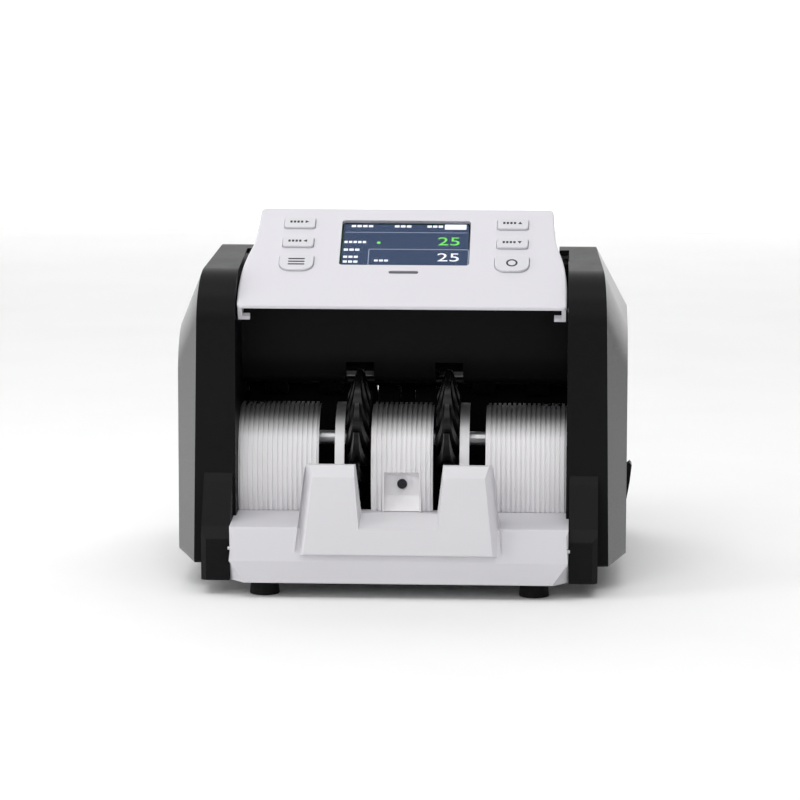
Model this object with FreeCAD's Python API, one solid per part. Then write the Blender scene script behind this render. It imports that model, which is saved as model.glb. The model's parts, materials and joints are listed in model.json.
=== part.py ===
"""Banknote counting machine: front stacker, slanted control head, rear hopper.

Machine frame while modelling: X across the machine from its middle plane, Y rearwards from the
front face of the stacker tray, Z up from the table. On export everything moves so that the origin
is the middle of the base of the overall box. Millimetres throughout.
"""
import FreeCAD
import Part
import math
import os

# ---- driving dimensions -------------------------------------------------------------------------
THROAT = 93.7            # half width of the note space between the side housings
HOUSING_OUT = 117.0      # half width where a housing meets its side cover, low at the front
SEAM_IN_REAR = 0.0622    # how that seam draws in towards the rear, and upwards
SEAM_IN_UP = 0.0145
SEAM_FOOT_Z = 60.0       # height at which the seam is HOUSING_OUT wide at the front
COVER_OUT = 127.6        # half width over the side covers
HOUSING_FRONT = 32.0     # front face of the side housings
REAR = 245.0             # rear end of the side housings
HOUSING_BASE = 13.4      # underside of the side housings
SHOULDER_Z = 177.0       # height of the housings' unrounded top front corner
CREST_Y = 126.0          # highest point of the housings' top
CREST_Z = 186.0
HAUNCH_Y = 228.0         # where the top slope meets the rear slope
HAUNCH_Z = 168.0
SHOULDER_R = 28.0
CREST_R = 30.0
HAUNCH_R = 26.0
FOOT_EDGE_R = 3.0        # lower corners of the housings
WALL = 2.5               # wall of the plastic mouldings
SLACK = 0.3              # gap between neighbouring mouldings

COVER_BEVEL_FRONT = 14.0  # how far the cover's flat face stands back from each edge
COVER_BEVEL_TOP = 34.0
COVER_BEVEL_REAR = 15.0
COVER_BEVEL_BASE = 5.5
COVER_FACE_R = [3.0, 26.0, 20.0, 16.0, 3.0]
TOP_LIP_IN = 5.7         # how far the lip along the housings' top stands in over the throat
TOP_LIP_T = 3.0
TOP_LIP_TO = 214.0       # the lip's rear end, ahead of the hopper floor's
COVER_SCREWS = [(62.0, 40.0), (62.0, 132.0), (207.0, 130.0), (222.0, 34.0)]
COVER_BOSS_R = 4.5
SCREW_R = 1.5
SCREW_HEAD_R = 3.0
SCREW_SINK = 2.2
TIE_R = 4.0

PAN_Z = 8.6              # underside of the base pan and of the stacker tray
PAN_T = 2.0
PAN_FRONT_HALF = 82.0    # half width of the pan under the tray
FOOT_R = 8.5
FOOT_X = 76.0
FOOT_FRONT_Y = 16.0
FOOT_REAR_Y = 222.0

TRAY_HALF = 95.0         # half width of the stacker tray in front of the housings
TRAY_BAND_Z = 21.0       # top of the tray's upright front band
TRAY_EDGE_Y = 5.0        # top front edge of the tray
TRAY_EDGE_Z = 39.6
TRAY_BACK_Y = 50.0       # back of the tray floor
TRAY_RISE = 0.06         # slope of the tray floor
TRAY_WALL = 2.6
CHEEK_OUT = 111.5        # outer face of the front cheeks
CHEEK_FRONT = 8.0
CHEEK_BASE = 8.2
CHEEK_TOP = 65.7

STOP_BASE_HALF = 58.0    # note stop
STOP_TOP_HALF = 52.7
STOP_NOTCH_TOP = 24.7
STOP_NOTCH_BASE = 19.6
STOP_NOTCH_DRAFT = 2.4   # how much wider the notch is at the front, on each side
STOP_SILL_Z = 47.5       # rear edge of the notch's sloping floor
STOP_BASE_Z = 25.0
STOP_TOP_Z = 74.4
STOP_FRONT = -1.5
STOP_BACK = 15.5

STACK_Y = 75.0           # stacker shaft
STACK_Z = 80.0
WHEEL_X = 25.6           # middle of each stacker wheel
WHEEL_R = 40.0
WHEEL_HALF = 6.5         # half width of a wheel
WHEEL_HUB_R = 14.0
FINGERS = 14
WHEEL_PHASE = 14.0       # direction of the first finger's root
FINGER_SWEEP = 52.0      # degrees from a finger's root round to its tip
NOTCH_SIDE = 1.5         # room beside a wheel in the rail and the panel
SHAFT_R = 4.0
RUN_FIT = 0.05           # radial clearance of a shaft in its bearing

PLATE_SIDE_IN = 47.5     # ribbed stacker plates: inner edge of the wide ones
PLATE_MID_HALF = 17.6    # half width of the middle one
STRIP_IN = 32.8          # narrow guide strips beside the wheels
STRIP_OUT = 38.2
PLATE_T = 2.4
PLATE_FOOT_Y = 46.5      # front of the plates where they meet the tray
PLATE_SCREW_Y = 67.0
PLATE_SCREW_R = 2.2
SENSOR_R = 2.6
SENSOR_Z = 57.5
POCKET_HALF = 10.0       # sensor pocket in the middle plate
POCKET_TOP = 65.0
POCKET_SLOPE_Z = 51.0    # where the pocket's floor starts to slope forward
RIB_PITCH = 2.8
RIB_W = 1.7
RIB_H = 1.3

HEAD_FRONT_Y = 32.0      # lower front edge of the control head
HEAD_FRONT_Z = 161.0
HEAD_TILT = 32.6         # degrees above the horizontal
HEAD_LENGTH = 89.6       # along the slope
HEAD_SIDE_GAP = 0.8      # between the head's front half and the housings
HEAD_TOP_IN = 8.1        # how much narrower each flank is at the top edge
HEAD_SHOULDER = 50.6     # from the top edge down to where the width starts to draw in
HEAD_NECK = 18.5         # length of that draw-in
HEAD_NECK_IN = 6.5
HEAD_DEEP = 16.0         # depth square to the slope
HEAD_LIP = 1.2
LUG_BASE = -11.2         # foot of the lugs under the head's lower corners
LUG_T = 2.4
LUG_FOOT = 6.6
HEAD_SKIN = 2.4
SCREEN_HALF = 37.1
SCREEN_TALL = 40.9
SCREEN_DROP = 11.3       # from the head's top edge down the slope to the screen
KEY_SIDE = 0.7           # key columns: how far nearer the screen than midway to the head's neck
KEY_ROWS = (("top", 14.9, 17.8, 9.4), ("middle", 32.5, 17.8, 9.0), ("low", 51.3, 19.6, 13.7))
KEY_PROUD = 1.4
KEY_GAP = 0.3
KEY_TRAVEL = 1.0
KEY_FLANGE = 1.2
PILL_DROP = 58.6         # status window, from the head's top edge
PILL_HALF = 8.5
PILL_WIDE = 2.6

FLOOR_Y = 122.0          # front end of the hopper floor
FLOOR_Z = 108.5
FLOOR_TILT = 28.1
FLOOR_LENGTH = 115.0
FLOOR_T = 2.5
FEED_Y = 136.0
FEED_Z = 95.0
FEED_R = 22.0
PICK_Y = 184.8
PICK_Z = 125.6
PICK_R = 16.0
ROLLER_IN = 5.0          # inner and outer edge of the feed and pick-up tyres
ROLLER_OUT = 17.0
TYRE_T = 3.0
EXIT_Y = 112.0
EXIT_Z = 108.0
EXIT_R = 8.0
PINCH_R = 7.0
PINCH_ANGLE = 138.7      # direction from the exit roller to the pinch roller
NIP_GAP = 0.3
EXIT_ROLLER_WHEEL = 5.9  # from a stacker wheel's side to the inner roller
EXIT_ROLLER_SIDE = 23.7  # from the throat wall to the outer roller's inner end
EXIT_ROLLER_LONG = 13.0
SMALL_SHAFT_R = 3.0

FRAME_T = 2.0            # steel side frames, against the housings' inner walls
BUSH_WALL = 3.0
BUSH_LONG = 5.0
BUSH_RIM = 1.2           # how far a bush's flange stands out
SHAFT_END = 115.0        # half length of the driven shafts
BELT_T = 1.2
BELT_W = 6.0
BELT_FIT = 0.03
FEED_PULLEY_R = 18.0
LINK_PULLEY_R = 10.0
EXIT_PULLEY_R = 6.0
STACK_PULLEY_R = 16.0
MOTOR_PULLEY_R = 8.0
STACK_MOTOR_PULLEY_R = 6.0
MOTOR_Y = 196.0
MOTOR_Z = 58.0
MOTOR_R = 24.0
MOTOR_LONG = 58.0
STACK_MOTOR_GAP = 6.7    # from the inner shield to the stacker motor
STACK_MOTOR_Z = 44.0
STACK_MOTOR_R = 17.0
STACK_MOTOR_LONG = 44.0

GUIDE_SIDE = 8.1         # from the throat wall to a note guide's inner face when fully apart
GUIDE_T = 1.9
GUIDE_TRAVEL = 38.0
GUIDE_FROM = 26.0        # along the hopper floor
GUIDE_TO = 104.0
GUIDE_TALL = 18.5
SLOT_HALF = 2.2          # half width of the guides' slots in the hopper floor
SLOT_AT = 82.0

ROCKER_Y = 165.0
ROCKER_Z = 41.0
ROCKER_MID = 0.65        # share of the raised end's height reached at the rocker's middle
ROCKER_LONG = 27.0
ROCKER_WIDE = 12.0
ROCKER_THROW = 14.0
BEZEL_RIM = 2.0
BEZEL_PROUD = 1.0
ROCKER_PIN_R = 1.5

BOARD_Z = 19.0
BOARD_T = 1.6
BOARD_EDGE = THROAT - 9.7  # outer edge of both circuit boards
MAIN_BOARD_WIDE = 64.0
POWER_BOARD_WIDE = 62.0
BOARD_HEAD_TOP = -6.8    # upper face of the keypad board, square to the head's slope
LENS_BACK = -1.9         # back of the screen lens, where the display starts
BRIDGE_TOP = 178.0
BRIDGE_STEP_IN = 2.5      # the raised front is this much narrower than the head's top, each side
KNOB_Y = 124.0
KNOB_SHANK_R = 3.0
KNOB_R = 7.5
KNOB_TALL = 8.0
RETARD_TOP = 168.0
MOTOR_SHAFT_R = 2.5
INLET_SIDE = 35.7        # from the throat wall to the middle of the mains inlet
INLET_Z = 31.0
INLET_W = 27.5
INLET_H = 20.0
INLET_DEEP = 18.0

SILL_TOP = 52.0          # top of the fixed rear sill under the rear cover
REAR_T = 2.5
HINGE_R = 2.0
KNUCKLE_R = 3.2
HINGE_LONG = 12.0


def vec(x, y, z):
    return FreeCAD.Vector(x, y, z)


def box(x0, x1, y0, y1, z0, z1):
    return Part.makeBox(x1 - x0, y1 - y0, z1 - z0, vec(x0, y0, z0))


def rod(x0, x1, y, z, r):
    """Cylinder along X."""
    return Part.makeCylinder(r, x1 - x0, vec(x0, y, z), vec(1, 0, 0))


def post(x, y, z0, z1, r):
    """Cylinder along Z."""
    return Part.makeCylinder(r, z1 - z0, vec(x, y, z0))


def mirrored(shape):
    return shape.mirror(vec(0, 0, 0), vec(1, 0, 0))


def joined(shapes):
    return shapes[0].multiFuse(shapes[1:]).removeSplitter()


def corner_arc(before, corner, after, r):
    """Start, middle and end of the arc that rounds one corner of a loop."""
    if r == 0:
        return corner, None, corner
    ax, ay = before[0] - corner[0], before[1] - corner[1]
    bx, by = after[0] - corner[0], after[1] - corner[1]
    a_long, b_long = math.hypot(ax, ay), math.hypot(bx, by)
    ax, ay, bx, by = ax / a_long, ay / a_long, bx / b_long, by / b_long
    half = math.acos(max(-1.0, min(1.0, ax * bx + ay * by))) / 2
    mx, my = ax + bx, ay + by
    m_long = math.hypot(mx, my)
    mx, my = mx / m_long, my / m_long
    reach = r / math.tan(half)
    depth = r / math.sin(half) - r
    start = (corner[0] + ax * reach, corner[1] + ay * reach)
    middle = (corner[0] + mx * depth, corner[1] + my * depth)
    end = (corner[0] + bx * reach, corner[1] + by * reach)
    return start, middle, end


def loop(corners, radii, place):
    """Closed wire through the corners, each rounded by its radius."""
    count = len(corners)
    if not isinstance(radii, (list, tuple)):
        radii = [radii] * count
    turns = [
        corner_arc(corners[i - 1], corners[i], corners[(i + 1) % count], radii[i]) for i in range(count)
    ]
    edges = []
    for i, (start, middle, end) in enumerate(turns):
        if middle is not None:
            edges.append(Part.Arc(place(*start), place(*middle), place(*end)).toShape())
        ahead = turns[(i + 1) % count][0]
        if math.hypot(ahead[0] - end[0], ahead[1] - end[1]) > 1e-6:
            edges.append(Part.LineSegment(place(*end), place(*ahead)).toShape())
    return Part.Wire(edges)


def prism_x(corners, radii, x0, x1):
    """Loop in the YZ plane drawn out along X."""
    wire = loop(corners, radii, lambda y, z: vec(x0, y, z))
    return Part.Face(wire).extrude(vec(x1 - x0, 0, 0))


def prism_y(corners, radii, y0, y1):
    """Loop in the XZ plane drawn out along Y."""
    wire = loop(corners, radii, lambda x, z: vec(x, y0, z))
    return Part.Face(wire).extrude(vec(0, y1 - y0, 0))


def prism_z(corners, radii, z0, z1):
    """Loop in the XY plane drawn out along Z."""
    wire = loop(corners, radii, lambda x, y: vec(x, y, z0))
    return Part.Face(wire).extrude(vec(0, 0, z1 - z0))


def rectangle(x0, x1, y0, y1):
    return [(x0, y0), (x1, y0), (x1, y1), (x0, y1)]


def inset(corners, steps):
    """Loop whose edge i, from corner i to the next, stands inwards by steps[i]."""
    count = len(corners)
    area = sum(
        corners[i - 1][0] * corners[i][1] - corners[i][0] * corners[i - 1][1] for i in range(count)
    )
    turn = 1 if area > 0 else -1
    lines = []
    for i in range(count):
        (x0, y0), (x1, y1) = corners[i], corners[(i + 1) % count]
        long = math.hypot(x1 - x0, y1 - y0)
        nx, ny = -(y1 - y0) / long * turn, (x1 - x0) / long * turn
        lines.append((nx, ny, nx * x0 + ny * y0 + steps[i]))
    result = []
    for i in range(count):
        a, b = lines[i - 1], lines[i]
        det = a[0] * b[1] - a[1] * b[0]
        result.append(((a[2] * b[1] - a[1] * b[2]) / det, (a[0] * b[2] - a[2] * b[0]) / det))
    return result


def on_head(shape):
    """Head frame (X, up the slope, square to it) into the machine frame."""
    placed = shape.copy()
    placed.rotate(vec(0, 0, 0), vec(1, 0, 0), HEAD_TILT)
    placed.translate(vec(0, HEAD_FRONT_Y, HEAD_FRONT_Z))
    return placed


def on_floor(shape):
    """Hopper floor frame (X, up the slope, square to it) into the machine frame."""
    placed = shape.copy()
    placed.rotate(vec(0, 0, 0), vec(1, 0, 0), FLOOR_TILT)
    placed.translate(vec(0, FLOOR_Y, FLOOR_Z))
    return placed


def save(name, *shapes):
    """Write one node, moved so that the origin is the middle of the overall box's base."""
    shape = shapes[0] if len(shapes) == 1 else Part.makeCompound(list(shapes))
    shape = shape.copy()
    shape.translate(vec(-ROCKER_OUT / 2, -(STOP_FRONT + REAR) / 2, 0))
    shape.exportStep("parts/" + name + ".step")


# ---- derived places -----------------------------------------------------------------------------
HEAD_HALF = THROAT - HEAD_SIDE_GAP
HEAD_TOP_HALF = HEAD_HALF - HEAD_TOP_IN
HEAD_NECK_HALF = HEAD_HALF - HEAD_NECK_IN
SCREEN_HIGH = HEAD_LENGTH - SCREEN_DROP
SCREEN_LOW = SCREEN_HIGH - SCREEN_TALL
PILL_AT = HEAD_LENGTH - PILL_DROP
HOLLOW_FROM = PILL_AT - 11.0
KEY_X = (SCREEN_HALF + HEAD_NECK_HALF - KEY_SIDE) / 2
GUIDE_X = THROAT - GUIDE_SIDE
SHIELD_T = 1.5
SHIELD_Y = STACK_Y + WHEEL_R + 5.8
STACK_MOTOR_Y = SHIELD_Y + SHIELD_T + STACK_MOTOR_GAP + STACK_MOTOR_R
BRIDGE_FRONT = HEAD_FRONT_Y + HEAD_LENGTH * math.cos(math.radians(HEAD_TILT)) - 5.5
TOP_LIP_X = THROAT - TOP_LIP_IN
TOP_LIP_FROM = BRIDGE_FRONT + 12.0
PAN_TOP = PAN_Z + PAN_T
PINCH_REACH = EXIT_R + PINCH_R + NIP_GAP
PINCH_Y = EXIT_Y + PINCH_REACH * math.cos(math.radians(PINCH_ANGLE))
PINCH_Z = EXIT_Z + PINCH_REACH * math.sin(math.radians(PINCH_ANGLE))
FRAME_IN = THROAT + WALL
FRAME_OUT = FRAME_IN + FRAME_T
PLATE_EDGE = THROAT - SLACK
BELT_IN = FRAME_IN + BUSH_LONG + 1.0
BELT_FAR = BELT_IN + BELT_W + 1.0
ROCKER_OUT = BEZEL_PROUD + ROCKER_LONG / 2 * math.sin(math.radians(ROCKER_THROW / 2)) * 2
PIVOT_X = COVER_OUT - 4.0
REAR_HALF = PLATE_EDGE - 0.2
INLET_X = THROAT - INLET_SIDE
PLATE_SCREWS = [THROAT - 11.7, THROAT - 5.7]
WHEEL_NOTCH = (WHEEL_X - WHEEL_HALF - NOTCH_SIDE, WHEEL_X + WHEEL_HALF + NOTCH_SIDE)
BOARD_POSTS = [
    (x, y) for x in (-BOARD_EDGE + 4, -BOARD_EDGE + MAIN_BOARD_WIDE - 4) for y in (136, 220)
] + [
    (x, y) for x in (BOARD_EDGE - POWER_BOARD_WIDE + 4, BOARD_EDGE - 4) for y in (196, 220)
]

PROFILE = [
    (HOUSING_FRONT, HOUSING_BASE), (HOUSING_FRONT, SHOULDER_Z), (CREST_Y, CREST_Z),
    (HAUNCH_Y, HAUNCH_Z), (REAR, HOUSING_BASE),
]
PROFILE_R = [FOOT_EDGE_R, SHOULDER_R, CREST_R, HAUNCH_R, FOOT_EDGE_R]


def below_head(y):
    """Height of the head's underside at a depth."""
    tilt = math.radians(HEAD_TILT)
    return HEAD_FRONT_Z + (y - HEAD_FRONT_Y) * math.tan(tilt) - HEAD_DEEP / math.cos(tilt)


def tray_top(y):
    return TRAY_EDGE_Z + (y - TRAY_EDGE_Y) * TRAY_RISE


def floor_z(y):
    return FLOOR_Z + (y - FLOOR_Y) * math.tan(math.radians(FLOOR_TILT))


def seam_x(y, z):
    """Half width of the seam between a housing and its side cover."""
    return HOUSING_OUT - SEAM_IN_REAR * (y - HOUSING_FRONT) - SEAM_IN_UP * (z - SEAM_FOOT_Z)


def rear_line(z):
    """Y of the housings' rear edge at a height."""
    return REAR - (z - HOUSING_BASE) * (REAR - HAUNCH_Y) / (HAUNCH_Z - HOUSING_BASE)


def sides(x0, x1):
    """The X ranges of a feature and of its mirror image."""
    return ((x0, x1), (-x1, -x0))


HINGE_Z = SILL_TOP + 6.5
HINGE_Y = rear_line(HINGE_Z) - 3.8
SHAFTS = {
    "feed": (FEED_Y, FEED_Z, SHAFT_R), "pick": (PICK_Y, PICK_Z, SHAFT_R),
    "exit": (EXIT_Y, EXIT_Z, SMALL_SHAFT_R), "pinch": (PINCH_Y, PINCH_Z, SMALL_SHAFT_R),
    "stack": (STACK_Y, STACK_Z, SHAFT_R),
}
TIE_RODS = [(180.0, 31.0), (222.0, 118.0), (BRIDGE_FRONT - 10.0, 150.0)]


# ---- enclosure ----------------------------------------------------------------------------------
def side_housing():
    """Black moulding on the right: inner wall, a rim up to the side cover, a lip along the top."""
    body = prism_x(PROFILE, PROFILE_R, THROAT, HOUSING_OUT + 2)
    hollow = inset(PROFILE, [WALL, WALL, WALL, WALL, -WALL])
    hollow_r = [1.0, SHOULDER_R - WALL, CREST_R - WALL, HAUNCH_R - WALL, 1.0]
    body = body.cut(prism_x(hollow, hollow_r, FRAME_IN, HOUSING_OUT + 3))
    reach = [(0, 0), (REAR + 20, 0), (REAR + 20, 220), (0, 220), (0, 0)]
    beyond = Part.Face(Part.makePolygon([vec(seam_x(y, z), y, z) for y, z in reach]))
    body = body.cut(beyond.extrude(vec(40, 0, 0)))
    under_lip = inset(PROFILE, [-1, TOP_LIP_T, TOP_LIP_T, -1, -1])
    lip = prism_x(PROFILE, PROFILE_R, TOP_LIP_X, THROAT + 1).cut(
        prism_x(under_lip, [1.0, SHOULDER_R, CREST_R, HAUNCH_R, 1.0], TOP_LIP_X - 1, THROAT + 2))
    body = body.fuse(lip.common(box(0, HOUSING_OUT, TOP_LIP_FROM, TOP_LIP_TO, SHOULDER_Z - 40, 220)))
    cuts = [rod(THROAT - 1, FRAME_IN + 1, y, z, r + BUSH_WALL + 0.6) for y, z, r in SHAFTS.values()]
    cuts += [rod(THROAT - 1, FRAME_IN + 1, y, z, TIE_R + SLACK) for y, z in TIE_RODS]
    return body.cut(Part.makeCompound(cuts))


def side_cover():
    """Grey cover on the right: a flat face that falls away in bevels to the leaning seam."""
    lean = FreeCAD.Matrix()
    lean.A12, lean.A13 = -SEAM_IN_REAR, -SEAM_IN_UP
    lean.A14 = seam_x(0, 0)

    def seam_loop(steps, radii):
        flat = loop(inset(PROFILE, steps), radii, lambda y, z: vec(0, y, z))
        return flat.transformGeometry(lean)

    def face_loop(x, steps, radii):
        return loop(inset(PROFILE, steps), radii, lambda y, z: vec(x, y, z))

    bevels = [COVER_BEVEL_FRONT, COVER_BEVEL_TOP, COVER_BEVEL_TOP, COVER_BEVEL_REAR, COVER_BEVEL_BASE]
    rim = seam_loop([0, 0, 0, 0, 0], PROFILE_R)
    face = face_loop(COVER_OUT, bevels, COVER_FACE_R)
    body = Part.makeLoft([rim, face], True, True)
    rim_in = seam_loop([WALL] * 5, [1.0, SHOULDER_R - WALL, CREST_R - WALL, HAUNCH_R - WALL, 1.0])
    face_in = face_loop(COVER_OUT - WALL, [b + WALL / 2 for b in bevels], [r - 1 for r in COVER_FACE_R])
    body = body.cut(Part.makeLoft([rim_in, face_in], True, True))
    for y, z in COVER_SCREWS:
        body = body.fuse(rod(FRAME_OUT + SLACK, COVER_OUT - WALL / 2, y, z, COVER_BOSS_R))
        body = body.cut(rod(COVER_OUT - SCREW_SINK, COVER_OUT + 1, y, z, SCREW_HEAD_R + SLACK))
        body = body.cut(rod(FRAME_OUT - 1, COVER_OUT, y, z, SCREW_R + 0.1))
    return body


def cover_screw(y, z):
    """Countersunk cross-head screw that holds a side cover to the frame."""
    head = rod(COVER_OUT - SCREW_SINK, COVER_OUT - 0.4, y, z, SCREW_HEAD_R)
    shank = rod(FRAME_IN, COVER_OUT - SCREW_SINK, y, z, SCREW_R)
    cross = box(COVER_OUT - 1.2, COVER_OUT, y - 2, y + 2, z - 0.4, z + 0.4)
    cross = cross.fuse(box(COVER_OUT - 1.2, COVER_OUT, y - 0.4, y + 0.4, z - 2, z + 2))
    return head.fuse(shank).cut(cross)


def side_frame():
    """Steel plate on the right that carries the shafts, against the housing's inner wall."""
    outline = inset(PROFILE, [4.0, 4.0, 4.0, 4.0, PAN_TOP - HOUSING_BASE])
    plate = prism_x(outline, [2.0, SHOULDER_R - 4, CREST_R - 4, HAUNCH_R - 4, 2.0], FRAME_IN, FRAME_OUT)
    cuts = [rod(FRAME_IN - 1, FRAME_OUT + 1, y, z, r + BUSH_WALL) for y, z, r in SHAFTS.values()]
    cuts += [rod(FRAME_IN - 1, FRAME_OUT + 1, y, z, TIE_R) for y, z in TIE_RODS]
    cuts += [rod(FRAME_IN - 1, FRAME_OUT + 1, y, z, SCREW_R) for y, z in COVER_SCREWS]
    return plate.cut(Part.makeCompound(cuts))


def base_pan():
    """Folded sheet pan under the whole machine, with board posts."""
    front = TRAY_EDGE_Y + 3
    half = PAN_FRONT_HALF
    wide = FRAME_OUT + 3.0
    outline = [
        (-half, front), (half, front), (half, TRAY_BACK_Y + 2), (wide, TRAY_BACK_Y + 2),
        (wide, REAR - 6), (-wide, REAR - 6), (-wide, TRAY_BACK_Y + 2), (-half, TRAY_BACK_Y + 2),
    ]
    pan = prism_z(outline, [3, 3, 0, 3, 3, 3, 3, 0], PAN_Z, PAN_TOP)
    lip_half = PLATE_EDGE - 1
    lip = box(-lip_half, lip_half, REAR - 8, REAR - 6, PAN_TOP - 0.5, PAN_TOP + 6)
    posts = [post(x, y, PAN_TOP - 0.5, BOARD_Z, 3.0) for x, y in BOARD_POSTS]
    return joined([pan, lip] + posts)


# ---- stacker ------------------------------------------------------------------------------------
def tray_block():
    """Outer form of the tray, without its hollow."""
    corners = [
        (0, PAN_Z), (0, TRAY_BAND_Z), (TRAY_EDGE_Y, TRAY_EDGE_Z), (TRAY_BACK_Y, tray_top(TRAY_BACK_Y)),
        (TRAY_BACK_Y, PAN_Z),
    ]
    block = prism_x(corners, [0.8, 1.2, 1.5, 0, 0], -TRAY_HALF, TRAY_HALF)
    low = [(TRAY_HALF - 9, -0.01), (TRAY_HALF + 0.01, 11), (TRAY_HALF + 9, -6)]
    high = [(TRAY_HALF - 0.1, 4.5), (TRAY_HALF + 0.1, 4.7), (TRAY_HALF + 0.2, 4.3)]
    facet = Part.makeLoft(
        [
            Part.makePolygon([vec(x, y, PAN_Z - 0.01) for x, y in low + low[:1]]),
            Part.makePolygon([vec(x, y, TRAY_EDGE_Z) for x, y in high + high[:1]]),
        ],
        True, True,
    )
    block = block.cut(facet).cut(mirrored(facet))
    for x0, x1 in sides(PLATE_EDGE, TRAY_HALF + 1):
        block = block.cut(box(x0, x1, HOUSING_FRONT - SLACK, TRAY_BACK_Y + 1, 0, 60))
    return block


def stacker_tray():
    """White front tray, open underneath, with a small peg on each flank."""
    wall, back = TRAY_WALL, TRAY_BACK_Y - TRAY_WALL
    hollow = prism_x(
        [
            (wall, PAN_Z - 1), (wall, TRAY_BAND_Z), (TRAY_EDGE_Y + wall, TRAY_EDGE_Z - wall),
            (back, tray_top(TRAY_BACK_Y) - wall - 0.3), (back, PAN_Z - 1),
        ],
        0, -PAN_FRONT_HALF - 2, PAN_FRONT_HALF + 2,
    )
    pan_half = PAN_FRONT_HALF + SLACK
    pan_way = box(-pan_half, pan_half, TRAY_BACK_Y - 10, TRAY_BACK_Y + 10, 0, PAN_TOP + SLACK)
    tray = tray_block().cut(hollow).cut(pan_way)
    pegs = [rod(TRAY_HALF - 3, TRAY_HALF + 0.9, 5.2, 27.3, 0.9)]
    pegs.append(mirrored(pegs[0]))
    return joined([tray] + pegs)


def note_stop():
    """White two-horned stop that sits over the tray's front edge."""
    front = prism_y(
        [
            (-STOP_BASE_HALF, STOP_BASE_Z), (-STOP_TOP_HALF, STOP_TOP_Z), (STOP_TOP_HALF, STOP_TOP_Z),
            (STOP_BASE_HALF, STOP_BASE_Z),
        ],
        [2.0, 2.5, 2.5, 2.0], STOP_FRONT - 1, STOP_BACK + 1,
    )
    side = prism_x(
        [
            (STOP_FRONT, STOP_BASE_Z), (6.0, 68.0), (10.0, STOP_TOP_Z), (STOP_BACK - 1, STOP_TOP_Z),
            (STOP_BACK, STOP_BASE_Z),
        ],
        [0.8, 2.0, 1.5, 1.0, 0], -STOP_BASE_HALF - 1, STOP_BASE_HALF + 1,
    )
    body = front.common(side)
    bevel_in = 5.0
    for hand in (1, -1):
        bevel = prism_z(
            [(0, 0), (bevel_in, 0), (0, bevel_in)], 0, STOP_BASE_Z - 5, STOP_TOP_Z + 5)
        lean = math.degrees(math.atan2(STOP_BASE_HALF - STOP_TOP_HALF, STOP_TOP_Z - STOP_BASE_Z))
        pitch = math.degrees(math.atan2(6.0 - STOP_FRONT, 68.0 - STOP_BASE_Z))
        bevel.rotate(vec(0, 0, STOP_BASE_Z), vec(0, 1, 0), lean)
        bevel.rotate(vec(0, 0, STOP_BASE_Z), vec(1, 0, 0), -pitch)
        bevel.translate(vec(-STOP_BASE_HALF, STOP_FRONT, 0))
        body = body.cut(bevel if hand > 0 else mirrored(bevel))
    before, behind = STOP_FRONT - 2, STOP_BACK + 2

    def notch_loop(y, base_half, top_half):
        low, high = TRAY_EDGE_Z - 6, STOP_TOP_Z + 4
        corners = [(-base_half, low), (-top_half, high), (top_half, high), (base_half, low)]
        return Part.makePolygon([vec(x, y, z) for x, z in corners + corners[:1]])

    draft = STOP_NOTCH_DRAFT
    notch = Part.makeLoft(
        [
            notch_loop(before, STOP_NOTCH_BASE + draft, STOP_NOTCH_TOP + draft),
            notch_loop(behind, STOP_NOTCH_BASE, STOP_NOTCH_TOP),
        ],
        True, True,
    )
    sill = prism_x(
        [(before, TRAY_EDGE_Z - 2.4), (behind, STOP_SILL_Z), (behind, 90), (before, 90)],
        0, -STOP_BASE_HALF, STOP_BASE_HALF,
    )
    return body.cut(notch.common(sill)).cut(tray_block())


def cheek():
    """Black wedge on the right that flanks the tray."""
    corners = [
        (CHEEK_FRONT, CHEEK_BASE), (CHEEK_FRONT, 31.8), (13.5, 38.4), (28.5, CHEEK_TOP - 4),
        (HOUSING_FRONT - 0.02, CHEEK_TOP), (HOUSING_FRONT - 0.02, CHEEK_BASE),
    ]
    body = prism_x(corners, [1.0, 1.5, 2.0, 2.0, 0, 0], TRAY_HALF + SLACK, CHEEK_OUT)
    edge = prism_z([(0, 0), (-3.0, 0), (0, 3.0)], 0, 0, 90)
    edge.translate(vec(CHEEK_OUT + 0.01, CHEEK_FRONT - 0.01, 0))
    return body.cut(edge)


def plate_band(x0, x1, out, back):
    """Strip of the curved stacker back between two depths from its front surface."""
    foot = PLATE_FOOT_Y
    base_z = tray_top(foot + PLATE_T) + 0.02
    outer = [(foot - out, base_z), (foot - 2 - out, 72.0), (54.0 - out * 0.7, 93.0 + out * 0.7),
             (STACK_Y - 1.0, 99.6 + out)]
    inner = [(foot - back, base_z), (foot - 2 - back, 72.0), (54.0 - back * 0.7, 93.0 + back * 0.7),
             (STACK_Y - 1.0, 99.6 + back)]
    def rise(points):
        curve = Part.BSplineCurve()
        curve.interpolate([vec(x0, y, z) for y, z in points])
        return curve.toShape()
    first, second = rise(outer), rise(inner)
    caps = [
        Part.LineSegment(vec(x0, *outer[-1]), vec(x0, *inner[-1])).toShape(),
        Part.LineSegment(vec(x0, *outer[0]), vec(x0, *inner[0])).toShape(),
    ]
    wire = Part.Wire(Part.__sortEdges__([first, second] + caps))
    return Part.Face(wire).extrude(vec(x1 - x0, 0, 0))


def ribbed_plate(x0, x1):
    """Curved plate with upright ribs on its front."""
    count = int((x1 - x0 - RIB_W) / RIB_PITCH) + 1
    margin = (x1 - x0 - RIB_W - (count - 1) * RIB_PITCH) / 2
    base = plate_band(x0, x1, 0, -PLATE_T)
    ribs = [
        plate_band(x0 + margin + i * RIB_PITCH, x0 + margin + i * RIB_PITCH + RIB_W, RIB_H, -0.4)
        for i in range(count)
    ]
    return joined([base] + ribs)


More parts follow.
